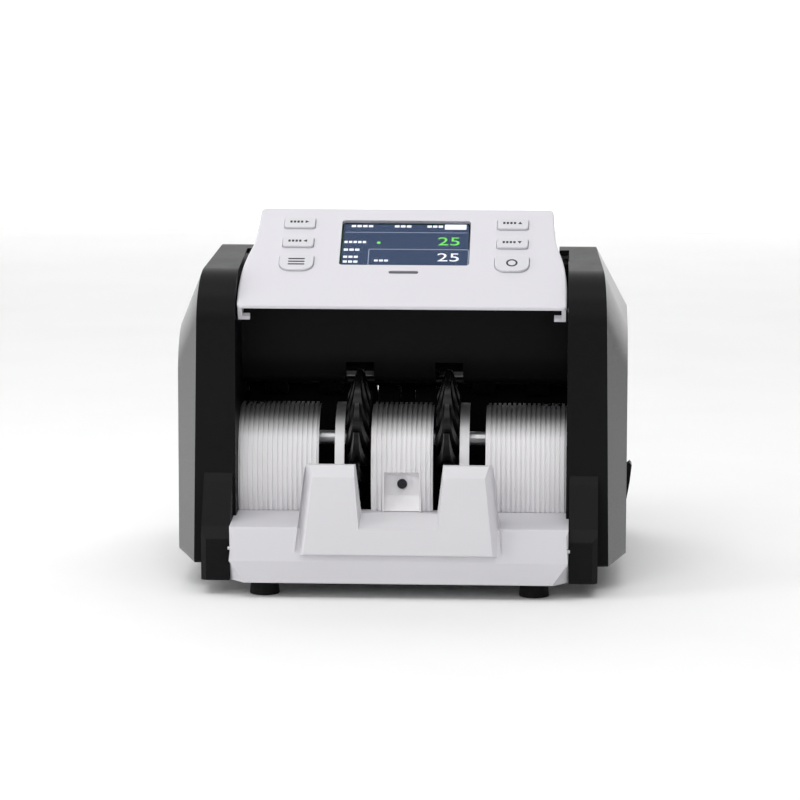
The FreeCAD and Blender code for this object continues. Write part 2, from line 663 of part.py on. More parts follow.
def plate_screw(x):
    """Small dark screw near the top of a wide plate."""
    head = post(x, PLATE_SCREW_Y, 97.6, 101.6, PLATE_SCREW_R)
    return head.cut(box(x - 2, x + 2, PLATE_SCREW_Y - 0.3, PLATE_SCREW_Y + 0.3, 101.0, 102))


def plate_mid():
    """Middle plate with its sensor pocket."""
    plate = ribbed_plate(-PLATE_MID_HALF, PLATE_MID_HALF)
    foot, low, half = PLATE_FOOT_Y, tray_top(46.0) - 1, POCKET_HALF
    plate = plate.cut(box(-half, half, 30, foot + PLATE_T - 0.2, low, POCKET_TOP))
    frame = box(-half - 1.2, half + 1.2, foot - 3.2, foot + 3.4, low + 1.3, POCKET_TOP + 1.2)
    pit = prism_x(
        [
            (foot - 5, low), (foot - 5, POCKET_TOP), (foot + 1.9, POCKET_TOP), (foot + 1.9, POCKET_SLOPE_Z),
            (foot - 2.2, low),
        ],
        0, -half, half,
    )
    plate = joined([plate, frame.cut(pit)])
    eye = Part.makeCylinder(SENSOR_R + 0.3, 20, vec(0, PLATE_FOOT_Y - 6, SENSOR_Z), vec(0, 1, 0))
    return plate.cut(eye)


def plate_rail():
    """Cross rail behind the tray that the stacker plates stand on."""
    top = tray_top(PLATE_FOOT_Y)
    rail = box(-PLATE_EDGE, PLATE_EDGE, TRAY_BACK_Y + 0.05, TRAY_BACK_Y + 7, PAN_TOP, top - 6)
    ledge = box(-PLATE_EDGE, PLATE_EDGE, TRAY_BACK_Y + 0.05, TRAY_BACK_Y + 3, top - 8, top + 0.5)
    for x0, x1 in sides(*WHEEL_NOTCH):
        rail = rail.cut(box(x0, x1, 0, 100, 30, 60))
        ledge = ledge.cut(box(x0, x1, 0, 100, 30, 60))
    return joined([rail, ledge])


def wheel_outline(place):
    """Loop of curved fingers: each sweeps round from its root to its tip."""
    pitch = 360.0 / FINGERS
    def at(r, angle):
        return place(r * math.cos(math.radians(angle)), r * math.sin(math.radians(angle)))
    edges = []
    for i in range(FINGERS):
        a = WHEEL_PHASE - i * pitch
        root, back = at(WHEEL_HUB_R, a), at(WHEEL_HUB_R, a - 14)
        tip, tip_in = at(WHEEL_R, a - FINGER_SWEEP), at(WHEEL_R - 1.0, a - FINGER_SWEEP - 0.6)
        edges.append(Part.Arc(root, at(29.5, a - 15.5), tip).toShape())
        edges.append(Part.LineSegment(tip, tip_in).toShape())
        edges.append(Part.Arc(tip_in, at(26.5, a - 22.5), back).toShape())
        edges.append(Part.LineSegment(back, at(WHEEL_HUB_R, a - pitch)).toShape())
    return Part.Wire(edges)


def stacker_wheel(x):
    """Black finger wheel whose fingers narrow to their tips."""
    x0, wide = x - WHEEL_HALF, WHEEL_HALF + 1
    wire = wheel_outline(lambda y, z: vec(x0, STACK_Y + y, STACK_Z + z))
    body = Part.Face(wire).extrude(vec(2 * WHEEL_HALF, 0, 0))
    taper_from = 0.6 * WHEEL_R
    section = [
        (-wide, 0), (-wide, taper_from), (-0.9, WHEEL_R + 1), (0.9, WHEEL_R + 1), (wide, taper_from),
        (wide, 0), (-wide, 0),
    ]
    taper = Part.makePolygon([vec(x + dx, STACK_Y, STACK_Z + r) for dx, r in section])
    disc = Part.Face(taper).revolve(vec(x, STACK_Y, STACK_Z), vec(1, 0, 0), 360)
    collar = rod(x - wide, x + wide, STACK_Y, STACK_Z, SHAFT_R + 3.5)
    return joined([body.common(disc), collar]).cut(rod(x - 20, x + 20, STACK_Y, STACK_Z, SHAFT_R))


def front_panel():
    """Black panel under the head, notched over the stacker wheels."""
    corners = [
        (66.0, below_head(66.0)), (70.0, 128.0), (79.0, 112.5), (86.0, 110.5), (86.0, 113.0),
        (80.6, 114.6), (72.6, 129.0), (68.6, below_head(68.6)),
    ]
    panel = prism_x(corners, [0, 30, 8, 0, 0, 6, 28, 0], -PLATE_EDGE, PLATE_EDGE)
    for x0, x1 in sides(*WHEEL_NOTCH):
        panel = panel.cut(box(x0, x1, 60, 100, 100, STACK_Z + WHEEL_R + 4.0))
    for i in range(-8, 9):
        tooth = i * 10.5
        if abs(abs(tooth) - WHEEL_X) < WHEEL_HALF + 5:
            continue
        panel = panel.cut(box(tooth - 2, tooth + 2, 82.5, 90, 105, 120))
    return panel


def inner_shield():
    """Black sheet behind the stacker wheels, notched over the feed rollers."""
    sheet = box(-PLATE_EDGE, PLATE_EDGE, SHIELD_Y, SHIELD_Y + SHIELD_T, PAN_TOP, FLOOR_Z - 4.5)
    low = FEED_Z - FEED_R - 3
    notches = [
        box(x0, x1, SHIELD_Y - 1, SHIELD_Y + 3, low, FLOOR_Z)
        for x0, x1 in sides(ROLLER_IN - 1, ROLLER_OUT + 1)
    ]
    return sheet.cut(Part.makeCompound(notches))


# ---- control head -------------------------------------------------------------------------------
def head_outline(step, place):
    """Head plan: square front corners, sides drawn in by an S on each flank."""
    half, neck, top = HEAD_HALF - step, HEAD_NECK_HALF - step, HEAD_TOP_HALF - step
    length = HEAD_LENGTH - step
    low = step
    shoulder = HEAD_LENGTH - HEAD_SHOULDER
    neck_at = shoulder + HEAD_NECK
    mid = (shoulder + neck_at) / 2
    mid_half = (half - 1.3 + neck) / 2
    def s_curve(side):
        points = [
            (half, low + 3.0), (half - 1.0, shoulder - 6), (half - 1.9, shoulder), (mid_half, mid),
            (neck + 0.35, neck_at), (neck - 0.3, neck_at + 5), (top, length - 3.0),
        ]
        curve = Part.BSplineCurve()
        curve.interpolate([place(side * x, y) for x, y in points])
        return curve.toShape()
    left, right = s_curve(-1), s_curve(1)
    def bend(side, y0, y1, half0):
        flat = 3.0
        corner = (side * half0, y1)
        start, end = (side * half0, y0), (side * (half0 - flat), y1)
        reach = 0.2929 * flat
        lean = reach if y1 > y0 else -reach
        return start, (corner[0] - side * reach, corner[1] - lean), end
    edges = [left, right]
    for side in (-1, 1):
        for y0, y1, half0 in ((low + 3.0, low, half), (length - 3.0, length, top)):
            start, middle, end = bend(side, y0, y1, half0)
            edges.append(Part.Arc(place(*start), place(*middle), place(*end)).toShape())
    edges.append(Part.LineSegment(place(-half + 3, low), place(half - 3, low)).toShape())
    edges.append(Part.LineSegment(place(-top + 3, length), place(top - 3, length)).toShape())
    return Part.Wire(Part.__sortEdges__(edges))


def key_loop(width, tall, at, side, grow):
    """Corners and radii of one key: the low ones have a round lower end."""
    half, up = width / 2 + grow, tall / 2 + grow
    x = side * KEY_X
    corners = [(x - half, at - up), (x + half, at - up), (x + half, at + up), (x - half, at + up)]
    low_r = min(half, up) * 0.92 if tall > 12 else 1.6 + grow
    return corners, [low_r, low_r, 1.6 + grow, 1.6 + grow]


def head_shell():
    """White slanted head, open underneath, with windows for screen, status light and keys."""
    outline = Part.Face(head_outline(0, lambda x, y: vec(x, y, -HEAD_DEEP - 1)))
    block = outline.extrude(vec(0, 0, HEAD_DEEP + 1))
    rounded = [e for e in block.Edges if e.BoundBox.ZMin > -0.01]
    block = block.makeFillet(1.2, rounded)
    end, deep = HEAD_LENGTH + 1, HEAD_DEEP
    flank = prism_x(
        [(-1, 1), (end, 1), (end, -deep), (24, -deep), (-1, -HEAD_LIP)], 0, -HEAD_HALF - 1, HEAD_HALF + 1)
    block = block.common(flank)
    hollow = Part.Face(head_outline(HEAD_SKIN, lambda x, y: vec(x, y, -HEAD_DEEP - 1)))
    hollow = hollow.extrude(vec(0, 0, HEAD_DEEP + 1 - HEAD_SKIN))
    hollow = hollow.common(box(-HEAD_HALF, HEAD_HALF, HOLLOW_FROM, HEAD_LENGTH, -HEAD_DEEP - 1, 0))
    block = block.cut(hollow)
    window = prism_z(rectangle(-SCREEN_HALF, SCREEN_HALF, SCREEN_LOW, SCREEN_HIGH), 2.0, -5, 5)
    pill = prism_z(
        rectangle(-PILL_HALF, PILL_HALF, PILL_AT - PILL_WIDE / 2, PILL_AT + PILL_WIDE / 2),
        PILL_WIDE / 2 - 0.01, -5, 5)
    cuts = [window, pill]
    for side in (-1, 1):
        for _, drop, width, tall in KEY_ROWS:
            corners, radii = key_loop(width, tall, HEAD_LENGTH - drop, side, KEY_GAP)
            cuts.append(prism_z(corners, radii, -5, 5))
    block = block.cut(Part.makeCompound(cuts))
    outer = HEAD_HALF - 0.4
    lug = box(outer - LUG_T, outer, 1.5, 12, LUG_BASE, -HEAD_LIP - 0.8)
    lug = lug.fuse(box(outer - LUG_FOOT, outer, 1.5, 4.5, LUG_BASE, LUG_BASE + LUG_T))
    return on_head(joined([block, lug, mirrored(lug)]))


def key_cap(side, at, width, tall):
    """Raised key with a flange that keeps it in the head and a stem towards the keypad."""
    corners, radii = key_loop(width, tall, at, side, 0)
    cap = prism_z(corners, radii, -HEAD_SKIN - 0.4, KEY_PROUD)
    cap = cap.makeFillet(0.6, [e for e in cap.Edges if e.BoundBox.ZMin > KEY_PROUD - 0.01])
    wide, wide_r = key_loop(width, tall, at, side, 0.9)
    flange = prism_z(wide, wide_r, -HEAD_SKIN - 0.2 - KEY_FLANGE, -HEAD_SKIN - 0.2)
    stem = post(side * KEY_X, at, BOARD_HEAD_TOP + KEY_TRAVEL + 0.2, -HEAD_SKIN - 1, 2.0)
    return on_head(joined([cap, flange, stem]))


def on_slope(corners, radii, low, high):
    return on_head(prism_z(corners, radii, low, high))


# ---- hopper and feed ----------------------------------------------------------------------------
def hopper_floor():
    """Sloping black floor with slots for the rollers and the note guides."""
    plate = prism_z(rectangle(-PLATE_EDGE, PLATE_EDGE, 0, FLOOR_LENGTH), [0, 0, 4, 4], -FLOOR_T, 0)
    lip = box(-PLATE_EDGE, PLATE_EDGE, FLOOR_LENGTH - 3, FLOOR_LENGTH, -9, -FLOOR_T + 0.5)
    plate = joined([plate, lip])
    feed_at = (FEED_Y - FLOOR_Y) / math.cos(math.radians(FLOOR_TILT))
    pick_at = (PICK_Y - 7 - FLOOR_Y) / math.cos(math.radians(FLOOR_TILT))
    for x0, x1 in sides(ROLLER_IN - 1, ROLLER_OUT + 1):
        plate = plate.cut(box(x0, x1, -1, feed_at + 20, -12, 2))
        plate = plate.cut(box(x0, x1, pick_at - 13, pick_at + 13, -12, 2))
    for x0, x1 in sides(GUIDE_X - GUIDE_TRAVEL - 8, GUIDE_X + GUIDE_T + 1):
        plate = plate.cut(box(x0, x1, SLOT_AT - SLOT_HALF, SLOT_AT + SLOT_HALF, -12, 2))
    return on_floor(plate)


def note_guide():
    """Right-hand guide: a wall on a foot, with a tongue through the floor's slot."""
    wall = prism_x(
        [(GUIDE_FROM, SLACK), (GUIDE_FROM + 8, GUIDE_TALL), (GUIDE_TO, GUIDE_TALL), (GUIDE_TO, SLACK)],
        [0, 6, 6, 0], GUIDE_X, GUIDE_X + GUIDE_T,
    )
    outer, under, fit = GUIDE_X + GUIDE_T, -FLOOR_T - 2.5, SLOT_HALF - SLACK
    foot = box(GUIDE_X, outer + 3, SLOT_AT - 14, SLOT_AT + 14, SLACK, 2.5)
    tongue = box(GUIDE_X - 1, outer, SLOT_AT - fit, SLOT_AT + fit, under, 1)
    head = box(GUIDE_X - 4, outer, SLOT_AT - 5, SLOT_AT + 5, under, -FLOOR_T - SLACK)
    return on_floor(joined([wall, foot, tongue, head]))


def feed_bridge():
    """Cross beam behind the head: its rear face is the hopper's front wall."""
    front = BRIDGE_FRONT
    step = front + 11.0
    outer = [
        (front, 132.0), (front, below_head(front)), (step, below_head(step)), (step, BRIDGE_TOP),
        (134.0, BRIDGE_TOP), (134.0, 170.0), (122.0, 132.0),
    ]
    beam = prism_x(outer, [0, 0, 0, 0, 2, 2, 0], -PLATE_EDGE, PLATE_EDGE)
    hollow = prism_x(
        [
            (front + WALL, 130.0), (front + WALL, below_head(front) - 3),
            (step - WALL, below_head(step) - 8), (step - WALL, BRIDGE_TOP - WALL),
            (130.5, BRIDGE_TOP - WALL), (130.5, 170.6), (119.3, 134.6), (119.3, 130.0),
        ],
        0, -PLATE_EDGE + 4, PLATE_EDGE - 4,
    )
    for x0, x1 in sides(HEAD_TOP_HALF - BRIDGE_STEP_IN - WALL, PLATE_EDGE + 1):
        hollow = hollow.cut(box(x0, x1, front - 1, step + 1, BRIDGE_TOP - WALL, BRIDGE_TOP + 40))
    beam = beam.cut(hollow)
    for x0, x1 in sides(HEAD_TOP_HALF - BRIDGE_STEP_IN, PLATE_EDGE + 1):
        beam = beam.cut(box(x0, x1, front - 1, step, BRIDGE_TOP, BRIDGE_TOP + 40))
    return beam.cut(post(0, KNOB_Y, 170, 180, KNOB_SHANK_R + RUN_FIT))


def gap_knob():
    """Fluted knob on top of the bridge that sets the feed gap."""
    low, high = BRIDGE_TOP + SLACK, BRIDGE_TOP + SLACK + KNOB_TALL
    cap = post(0, KNOB_Y, low, high, KNOB_R)
    turns = [i * math.pi / 6 for i in range(12)]
    flutes = [
        post(KNOB_R * math.cos(a), KNOB_Y + KNOB_R * math.sin(a), low + 1, high + 1, 1.0) for a in turns
    ]
    pointer = box(-0.5, 0.5, KNOB_Y + 1.5, KNOB_Y + 6, high - 0.5, high + 1)
    cap = cap.cut(Part.makeCompound(flutes)).cut(pointer)
    return joined([cap, post(0, KNOB_Y, RETARD_TOP + SLACK, low + 0.1, KNOB_SHANK_R)])


def retard_holder():
    """Block under the knob that holds the rubber pad over the feed rollers."""
    stem = box(-12, 12, 112.0, 118.8, 124.0, RETARD_TOP)
    arm = box(-22, 22, 112.0, 142.0, 120.6, 124.2)
    cap = box(-12, 12, 112.0, 128.5, 165.0, RETARD_TOP)
    return joined([stem, arm, cap])


def roller(x_pairs, y, z, r, bore, side_r):
    """Hub discs of one roller shaft, mirrored to both sides, with lightening grooves."""
    solids = []
    for x0, x1 in x_pairs:
        hub = rod(x0, x1, y, z, r)
        hub = hub.cut(rod(x0 - 1, x0 + 2, y, z, r - 2).cut(rod(x0 - 1, x0 + 2, y, z, side_r)))
        hub = hub.cut(rod(x1 - 2, x1 + 1, y, z, r - 2).cut(rod(x1 - 2, x1 + 1, y, z, side_r)))
        hub = hub.cut(rod(x0 - 1, x1 + 1, y, z, bore))
        solids += [hub, mirrored(hub)]
    return solids


def tyres(x_pairs, y, z, r, thick):
    """Rubber bands round the roller hubs, with shallow grooves."""
    solids = []
    for x0, x1 in x_pairs:
        band = rod(x0, x1, y, z, r).cut(rod(x0 - 1, x1 + 1, y, z, r - thick))
        for i in range(1, 4):
            mid = x0 + (x1 - x0) * i / 4
            groove = rod(mid - 0.4, mid + 0.4, y, z, r + 1).cut(rod(mid - 1, mid + 1, y, z, r - 0.6))
            band = band.cut(groove)
        solids += [band, mirrored(band)]
    return solids


def pulley(x, y, z, r, bore):
    """Flanged belt pulley whose belt lies from x to x + BELT_W."""
    body = joined([
        rod(x - 0.4, x + BELT_W + 0.4, y, z, r), rod(x - 1.0, x - 0.3, y, z, r + 2),
        rod(x + BELT_W + 0.3, x + BELT_W + 1.0, y, z, r + 2),
    ])
    return body.cut(rod(x - 2, x + BELT_W + 2, y, z, bore))


def hull_loop(y1, z1, r1, y2, z2, r2, x):
    """Loop of two circles and their outer tangents."""
    along = math.atan2(z2 - z1, y2 - y1)
    span = math.hypot(y2 - y1, z2 - z1)
    open_angle = math.acos((r1 - r2) / span)
    def at(y, z, r, angle):
        return vec(x, y + r * math.cos(angle), z + r * math.sin(angle))
    a_up, a_low = at(y1, z1, r1, along + open_angle), at(y1, z1, r1, along - open_angle)
    b_up, b_low = at(y2, z2, r2, along + open_angle), at(y2, z2, r2, along - open_angle)
    return Part.Wire([
        Part.Arc(a_up, at(y1, z1, r1, along + math.pi), a_low).toShape(),
        Part.LineSegment(a_low, b_low).toShape(),
        Part.Arc(b_low, at(y2, z2, r2, along), b_up).toShape(),
        Part.LineSegment(b_up, a_up).toShape(),
    ])


def belt(y1, z1, r1, y2, z2, r2, x):
    """Flat belt round two pulleys."""
    outer = Part.Face(hull_loop(y1, z1, r1 + BELT_FIT + BELT_T, y2, z2, r2 + BELT_FIT + BELT_T, x))
    inner = Part.Face(hull_loop(y1, z1, r1 + BELT_FIT, y2, z2, r2 + BELT_FIT, x))
    return outer.cut(inner).extrude(vec(BELT_W, 0, 0))


def motor(y, z, r, long, inner_x, side):
    """Can motor with a boss, its flat face towards the side wall."""
    can = rod(inner_x, inner_x + long, y, z, r)
    can = can.makeFillet(1.5, [e for e in can.Edges if e.BoundBox.XMax - e.BoundBox.XMin < 0.01])
    boss = rod(inner_x + long - 0.5, inner_x + long + 1.5, y, z, 7.0)
    tail = rod(inner_x - 3, inner_x + 0.5, y, z, 6.0)
    bore = rod(inner_x + long - 20, inner_x + long + 3, y, z, MOTOR_SHAFT_R + RUN_FIT)
    body = joined([can, boss, tail]).cut(bore)
    return body if side > 0 else mirrored(body)


# ---- rear and electrics -------------------------------------------------------------------------
def rear_sill():
    """Fixed rear panel with the inlet's opening."""
    low, high = PAN_Z + 0.4, SILL_TOP
    panel = prism_x(
        [(rear_line(low) - 1, low), (rear_line(high) - 1, high), (rear_line(high) - 1 - REAR_T, high),
         (rear_line(low) - 1 - REAR_T, low)],
        0, -PLATE_EDGE, PLATE_EDGE,
    )
    wide, tall = INLET_W / 2, INLET_H / 2
    cut = box(INLET_X - wide, INLET_X + wide, REAR - 16, REAR + 4, INLET_Z - tall, INLET_Z + tall)
    slots = [box(-78 + i * 7, -75 + i * 7, REAR - 16, REAR + 4, 22, 42) for i in range(12)]
    return panel.cut(Part.makeCompound([cut] + slots))


def mains_inlet():
    """Three-pin mains inlet with its flange outside the sill."""
    y = rear_line(INLET_Z) - 1
    depth = INLET_DEEP
    wide, tall = INLET_W / 2 - 0.2, INLET_H / 2 - 0.2
    barrel = box(INLET_X - wide, INLET_X + wide, y - depth, y + 0.8, INLET_Z - tall, INLET_Z + tall)
    cavity = prism_y(
        [
            (INLET_X - 12.1, INLET_Z - 8), (INLET_X + 12.1, INLET_Z - 8), (INLET_X + 12.1, INLET_Z + 3),
            (INLET_X + 7.1, INLET_Z + 8), (INLET_X - 7.1, INLET_Z + 8), (INLET_X - 12.1, INLET_Z + 3),
        ],
        [1.0, 1.0, 0.6, 0.6, 0.6, 0.6], y - depth + 3, y + 2,
    )
    body = barrel.cut(cavity)
    places = [(INLET_X + dx, INLET_Z + dz) for dx, dz in ((-7, -1), (0, 2), (7, -1))]
    pins = [box(x - 1, x + 1, y - depth + 3, y - 4, z - 2, z + 2) for x, z in places]
    return body, pins


def rear_cover():
    """Hinged rear cover with vent slots and two hinge knuckles at its lower edge."""
    low, high = SILL_TOP + 1.5, HAUNCH_Z - 16
    panel = prism_x(
        [(rear_line(low) - 1, low), (rear_line(high) - 1, high), (rear_line(high) - 1 - REAR_T, high),
         (rear_line(low) - 1 - REAR_T, low)],
        0, -REAR_HALF, REAR_HALF,
    )
    slots = [
        prism_y(rectangle(x, x + 3.5, 80, 116), 1.7, REAR - 30, REAR + 4) for x in range(-54, 60, 9)
    ]
    panel = panel.cut(Part.makeCompound(slots))
    skin, proud = rear_line(high) - 1.2, rear_line(high) + 2.5
    grip = prism_x([(skin, high - 12), (skin, high), (proud, high - 2), (proud, high - 5)], 0, -18, 18)
    pieces = [panel, grip]
    for x0, x1 in sides(REAR_HALF - HINGE_LONG, REAR_HALF - 0.01):
        pieces.append(rod(x0, x1, HINGE_Y, HINGE_Z, KNUCKLE_R))
    for x0, x1 in sides(REAR_HALF - 1, THROAT + 1.5):
        pieces.append(rod(x0, x1, HINGE_Y, HINGE_Z, HINGE_R))
    return joined(pieces)


def switch_box(x0, x1, grow):
    """Block over the power switch's opening, grown on all four sides."""
    wide, long = ROCKER_WIDE / 2 + grow, ROCKER_LONG / 2 + grow
    return box(x0, x1, ROCKER_Y - wide, ROCKER_Y + wide, ROCKER_Z - long, ROCKER_Z + long)


def rocker_bezel():
    """Frame of the power switch in the right side cover."""
    rim = switch_box(COVER_OUT + 0.01, COVER_OUT + BEZEL_PROUD, BEZEL_RIM)
    barrel = switch_box(COVER_OUT - 12, COVER_OUT + 0.5, BEZEL_RIM - 1.2)
    well = switch_box(COVER_OUT - 10.5, COVER_OUT + 5, 0)
    pivot = Part.makeCylinder(
        ROCKER_PIN_R + RUN_FIT, 30, vec(PIVOT_X, ROCKER_Y - 15, ROCKER_Z), vec(0, 1, 0))
    return joined([rim, barrel]).cut(well).cut(pivot)


def rocker():
    """Rocker of the power switch, its upper end raised; a bent face turns on a cross pin."""
    long = ROCKER_LONG / 2 - 1.7
    wide = ROCKER_WIDE / 2 - 0.3
    raise_x = ROCKER_OUT - BEZEL_PROUD
    face = COVER_OUT + BEZEL_PROUD
    root, tip = PIVOT_X - 1.5, face + raise_x
    low, high = ROCKER_Z - long, ROCKER_Z + long
    corners = [
        (root, ROCKER_Z - 5), (face - 0.6, low + 1.2), (face + 0.3, low + 1.6),
        (face + ROCKER_MID * raise_x, ROCKER_Z),
        (tip, high - 1.5), (tip - 1.2, high), (root, ROCKER_Z + 5),
    ]
    body = prism_y(corners, [0, 0, 0.4, 10, 0.6, 0, 0], ROCKER_Y - wide, ROCKER_Y + wide)
    pin_from = vec(PIVOT_X, ROCKER_Y - wide - 1.1, ROCKER_Z)
    pin = Part.makeCylinder(ROCKER_PIN_R, 2 * wide + 2.2, pin_from, vec(0, 1, 0))
    return joined([body, pin])


def main():
    os.makedirs("parts", exist_ok=True)
    for name in os.listdir("parts"):
        if name.endswith(".step"):
            os.remove(os.path.join("parts", name))

    # enclosure
    housing, cover, frame = side_housing(), side_cover(), side_frame()
    hinge_hole = rod(THROAT - 1, THROAT + 2.2, HINGE_Y, HINGE_Z, HINGE_R + RUN_FIT)
    housing = housing.cut(hinge_hole)
    motor_hole = rod(THROAT - 1, FRAME_OUT + 1, MOTOR_Y, MOTOR_Z, 9.0)
    stack_hole = rod(THROAT - 1, FRAME_OUT + 1, STACK_MOTOR_Y, STACK_MOTOR_Z, 9.0)
    save("side_housing_right", housing.cut(motor_hole))
    save("side_housing_left", mirrored(housing.cut(stack_hole)))
    save("side_frames", frame.cut(motor_hole), mirrored(frame.cut(stack_hole)))
    save("side_cover_right", cover.cut(switch_box(COVER_OUT - 13, COVER_OUT + 3, BEZEL_RIM - 1.2)))
    save("side_cover_left", mirrored(cover))
    screws = [cover_screw(y, z) for y, z in COVER_SCREWS]
    screws += [plate_screw(x) for x in PLATE_SCREWS]
    save("screws", *(screws + [mirrored(s) for s in screws]))
    save("base_pan", base_pan())
    feet = []
    for x in (-FOOT_X, FOOT_X):
        for y in (FOOT_FRONT_Y, FOOT_REAR_Y):
            foot = Part.makeCone(FOOT_R, FOOT_R - 0.8, PAN_Z, vec(x, y, 0))
            feet.append(foot.makeFillet(0.6, [e for e in foot.Edges if e.BoundBox.ZMax < 0.01]))
    save("rubber_feet", *feet)
    save("tie_rods", *[rod(-FRAME_OUT, FRAME_OUT, y, z, TIE_R) for y, z in TIE_RODS])

    # stacker
    save("stacker_tray", stacker_tray())
    save("note_stop", note_stop())
    save("front_cheeks", cheek(), mirrored(cheek()))
    side_plate = ribbed_plate(PLATE_SIDE_IN, PLATE_EDGE)
    side_plate = side_plate.cut(Part.makeCompound(
        [post(x, PLATE_SCREW_Y, 90.0, 110.0, PLATE_SCREW_R) for x in PLATE_SCREWS]))
    save("stacker_plate_right", side_plate)
    save("stacker_plate_left", mirrored(side_plate))
    save("stacker_plate_middle", plate_mid())
    strip = plate_band(STRIP_IN, STRIP_OUT, RIB_H, -PLATE_T)
    save("guide_strips", strip, mirrored(strip))
    save("plate_rail", plate_rail())
    save("front_panel", front_panel())
    save("inner_shield", inner_shield())
    eye = Part.makeCylinder(SENSOR_R, 5, vec(0, PLATE_FOOT_Y + 0.4, SENSOR_Z), vec(0, 1, 0))
    eye = eye.fuse(box(-6, 6, PLATE_FOOT_Y + 3.7, PLATE_FOOT_Y + 5.4, SENSOR_Z - 8, SENSOR_Z + 8))
    save("stack_sensor", eye)

    # stacker drive
    shaft = rod(-SHAFT_END, FRAME_OUT + 6, STACK_Y, STACK_Z, SHAFT_R)
    save("stacker_shaft", shaft, pulley(-BELT_IN - BELT_W, STACK_Y, STACK_Z, STACK_PULLEY_R, SHAFT_R))
    save("stacker_wheels", stacker_wheel(WHEEL_X), stacker_wheel(-WHEEL_X))
    stack_motor_x = THROAT - SLACK - STACK_MOTOR_LONG
    save("stacker_motor", motor(
        STACK_MOTOR_Y, STACK_MOTOR_Z, STACK_MOTOR_R, STACK_MOTOR_LONG, stack_motor_x, -1))
    arbor = rod(-BELT_IN - BELT_W - 1, -THROAT + 12, STACK_MOTOR_Y, STACK_MOTOR_Z, MOTOR_SHAFT_R)
    save("stacker_motor_pulley", joined([
        arbor, pulley(-BELT_IN - BELT_W, STACK_MOTOR_Y, STACK_MOTOR_Z, STACK_MOTOR_PULLEY_R, 1.0)]))

    # control head
    save("head_shell", head_shell())
    for side, hand in ((-1, "left"), (1, "right")):
        for row, drop, width, tall in KEY_ROWS:
            save("key_" + row + "_" + hand, key_cap(side, HEAD_LENGTH - drop, width, tall))
    lens_half = SCREEN_HALF - 0.15
    lens = rectangle(-lens_half, lens_half, SCREEN_LOW + 0.15, SCREEN_HIGH - 0.15)
    save("screen_lens", on_slope(lens, 1.85, LENS_BACK, -0.3))
    module = rectangle(-SCREEN_HALF + 1.1, SCREEN_HALF - 1.1, SCREEN_LOW + 1.2, SCREEN_HIGH - 1.2)
    save("display_module", on_slope(module, 0.5, BOARD_HEAD_TOP, LENS_BACK))
    pill_half, pill_in = PILL_HALF - 0.1, PILL_WIDE / 2 - 0.1
    pill = rectangle(-pill_half, pill_half, PILL_AT - pill_in, PILL_AT + pill_in)
    save("status_window", on_slope(pill, pill_in - 0.01, BOARD_HEAD_TOP, -0.4))
    board_half, board_low = HEAD_TOP_HALF - 6.8, BOARD_HEAD_TOP - BOARD_T
    keypad = rectangle(-board_half, board_half, HOLLOW_FROM + 4, HEAD_LENGTH - 5)
    save("keypad_board", on_slope(keypad, 1.0, board_low, BOARD_HEAD_TOP))
    corners = [(x, y) for x in (-KEY_X - 8.6, KEY_X + 8.6) for y in (HOLLOW_FROM + 10, HEAD_LENGTH - 10)]
    base_posts = [post(x, y, -HEAD_DEEP + 1.8, board_low, 2.5) for x, y in corners]
    base_half = HEAD_TOP_HALF - 4.8
    plan = rectangle(-base_half, base_half, HOLLOW_FROM + 0.6, HEAD_LENGTH - HEAD_SKIN - 0.6)
    head_base = prism_z(plan, 2.0, -HEAD_DEEP + 0.02, -HEAD_DEEP + 2.0)
    save("head_base", on_head(joined([head_base] + base_posts)))

    # hopper and feed
    save("hopper_floor", hopper_floor())
    save("note_guide_right", note_guide())
    save("note_guide_left", mirrored(note_guide()))
    save("feed_bridge", feed_bridge())
    save("gap_knob", gap_knob())
    pad = box(-20, 20, 128.0, 137.0, FEED_Z + FEED_R + NIP_GAP, 120.6)
    save("retard_holder", retard_holder(), pad)
    pair = [(ROLLER_IN, ROLLER_OUT)]
    save("feed_shaft", rod(-SHAFT_END, SHAFT_END, FEED_Y, FEED_Z, SHAFT_R))
    save("feed_rollers", *(roller(pair, FEED_Y, FEED_Z, FEED_R - TYRE_T, SHAFT_R, 8)
                           + tyres(pair, FEED_Y, FEED_Z, FEED_R, TYRE_T)))
    save("feed_pulleys", pulley(BELT_IN, FEED_Y, FEED_Z, FEED_PULLEY_R, SHAFT_R),
         pulley(BELT_FAR + 1.2, FEED_Y, FEED_Z, LINK_PULLEY_R, SHAFT_R),
         pulley(-BELT_IN - BELT_W, FEED_Y, FEED_Z, LINK_PULLEY_R, SHAFT_R))
    save("pickup_shaft", rod(-FRAME_OUT - 5, BELT_FAR + BELT_W + 3, PICK_Y, PICK_Z, SHAFT_R))
    save("pickup_rollers", *(roller(pair, PICK_Y, PICK_Z, PICK_R - TYRE_T, SHAFT_R, 7)
                             + tyres(pair, PICK_Y, PICK_Z, PICK_R, TYRE_T)
                             + [pulley(BELT_FAR + 1.2, PICK_Y, PICK_Z, LINK_PULLEY_R, SHAFT_R)]))
    inner_ends = (WHEEL_X + WHEEL_HALF + EXIT_ROLLER_WHEEL, THROAT - EXIT_ROLLER_SIDE)
    wide_pairs = [(x, x + EXIT_ROLLER_LONG) for x in inner_ends]
    save("exit_shaft", rod(-BELT_IN - BELT_W - 2, FRAME_OUT + 5, EXIT_Y, EXIT_Z, SMALL_SHAFT_R))
    save("exit_rollers", *(tyres(wide_pairs, EXIT_Y, EXIT_Z, EXIT_R, EXIT_R - SMALL_SHAFT_R)
                           + [pulley(-BELT_IN - BELT_W, EXIT_Y, EXIT_Z, EXIT_PULLEY_R, SMALL_SHAFT_R)]))
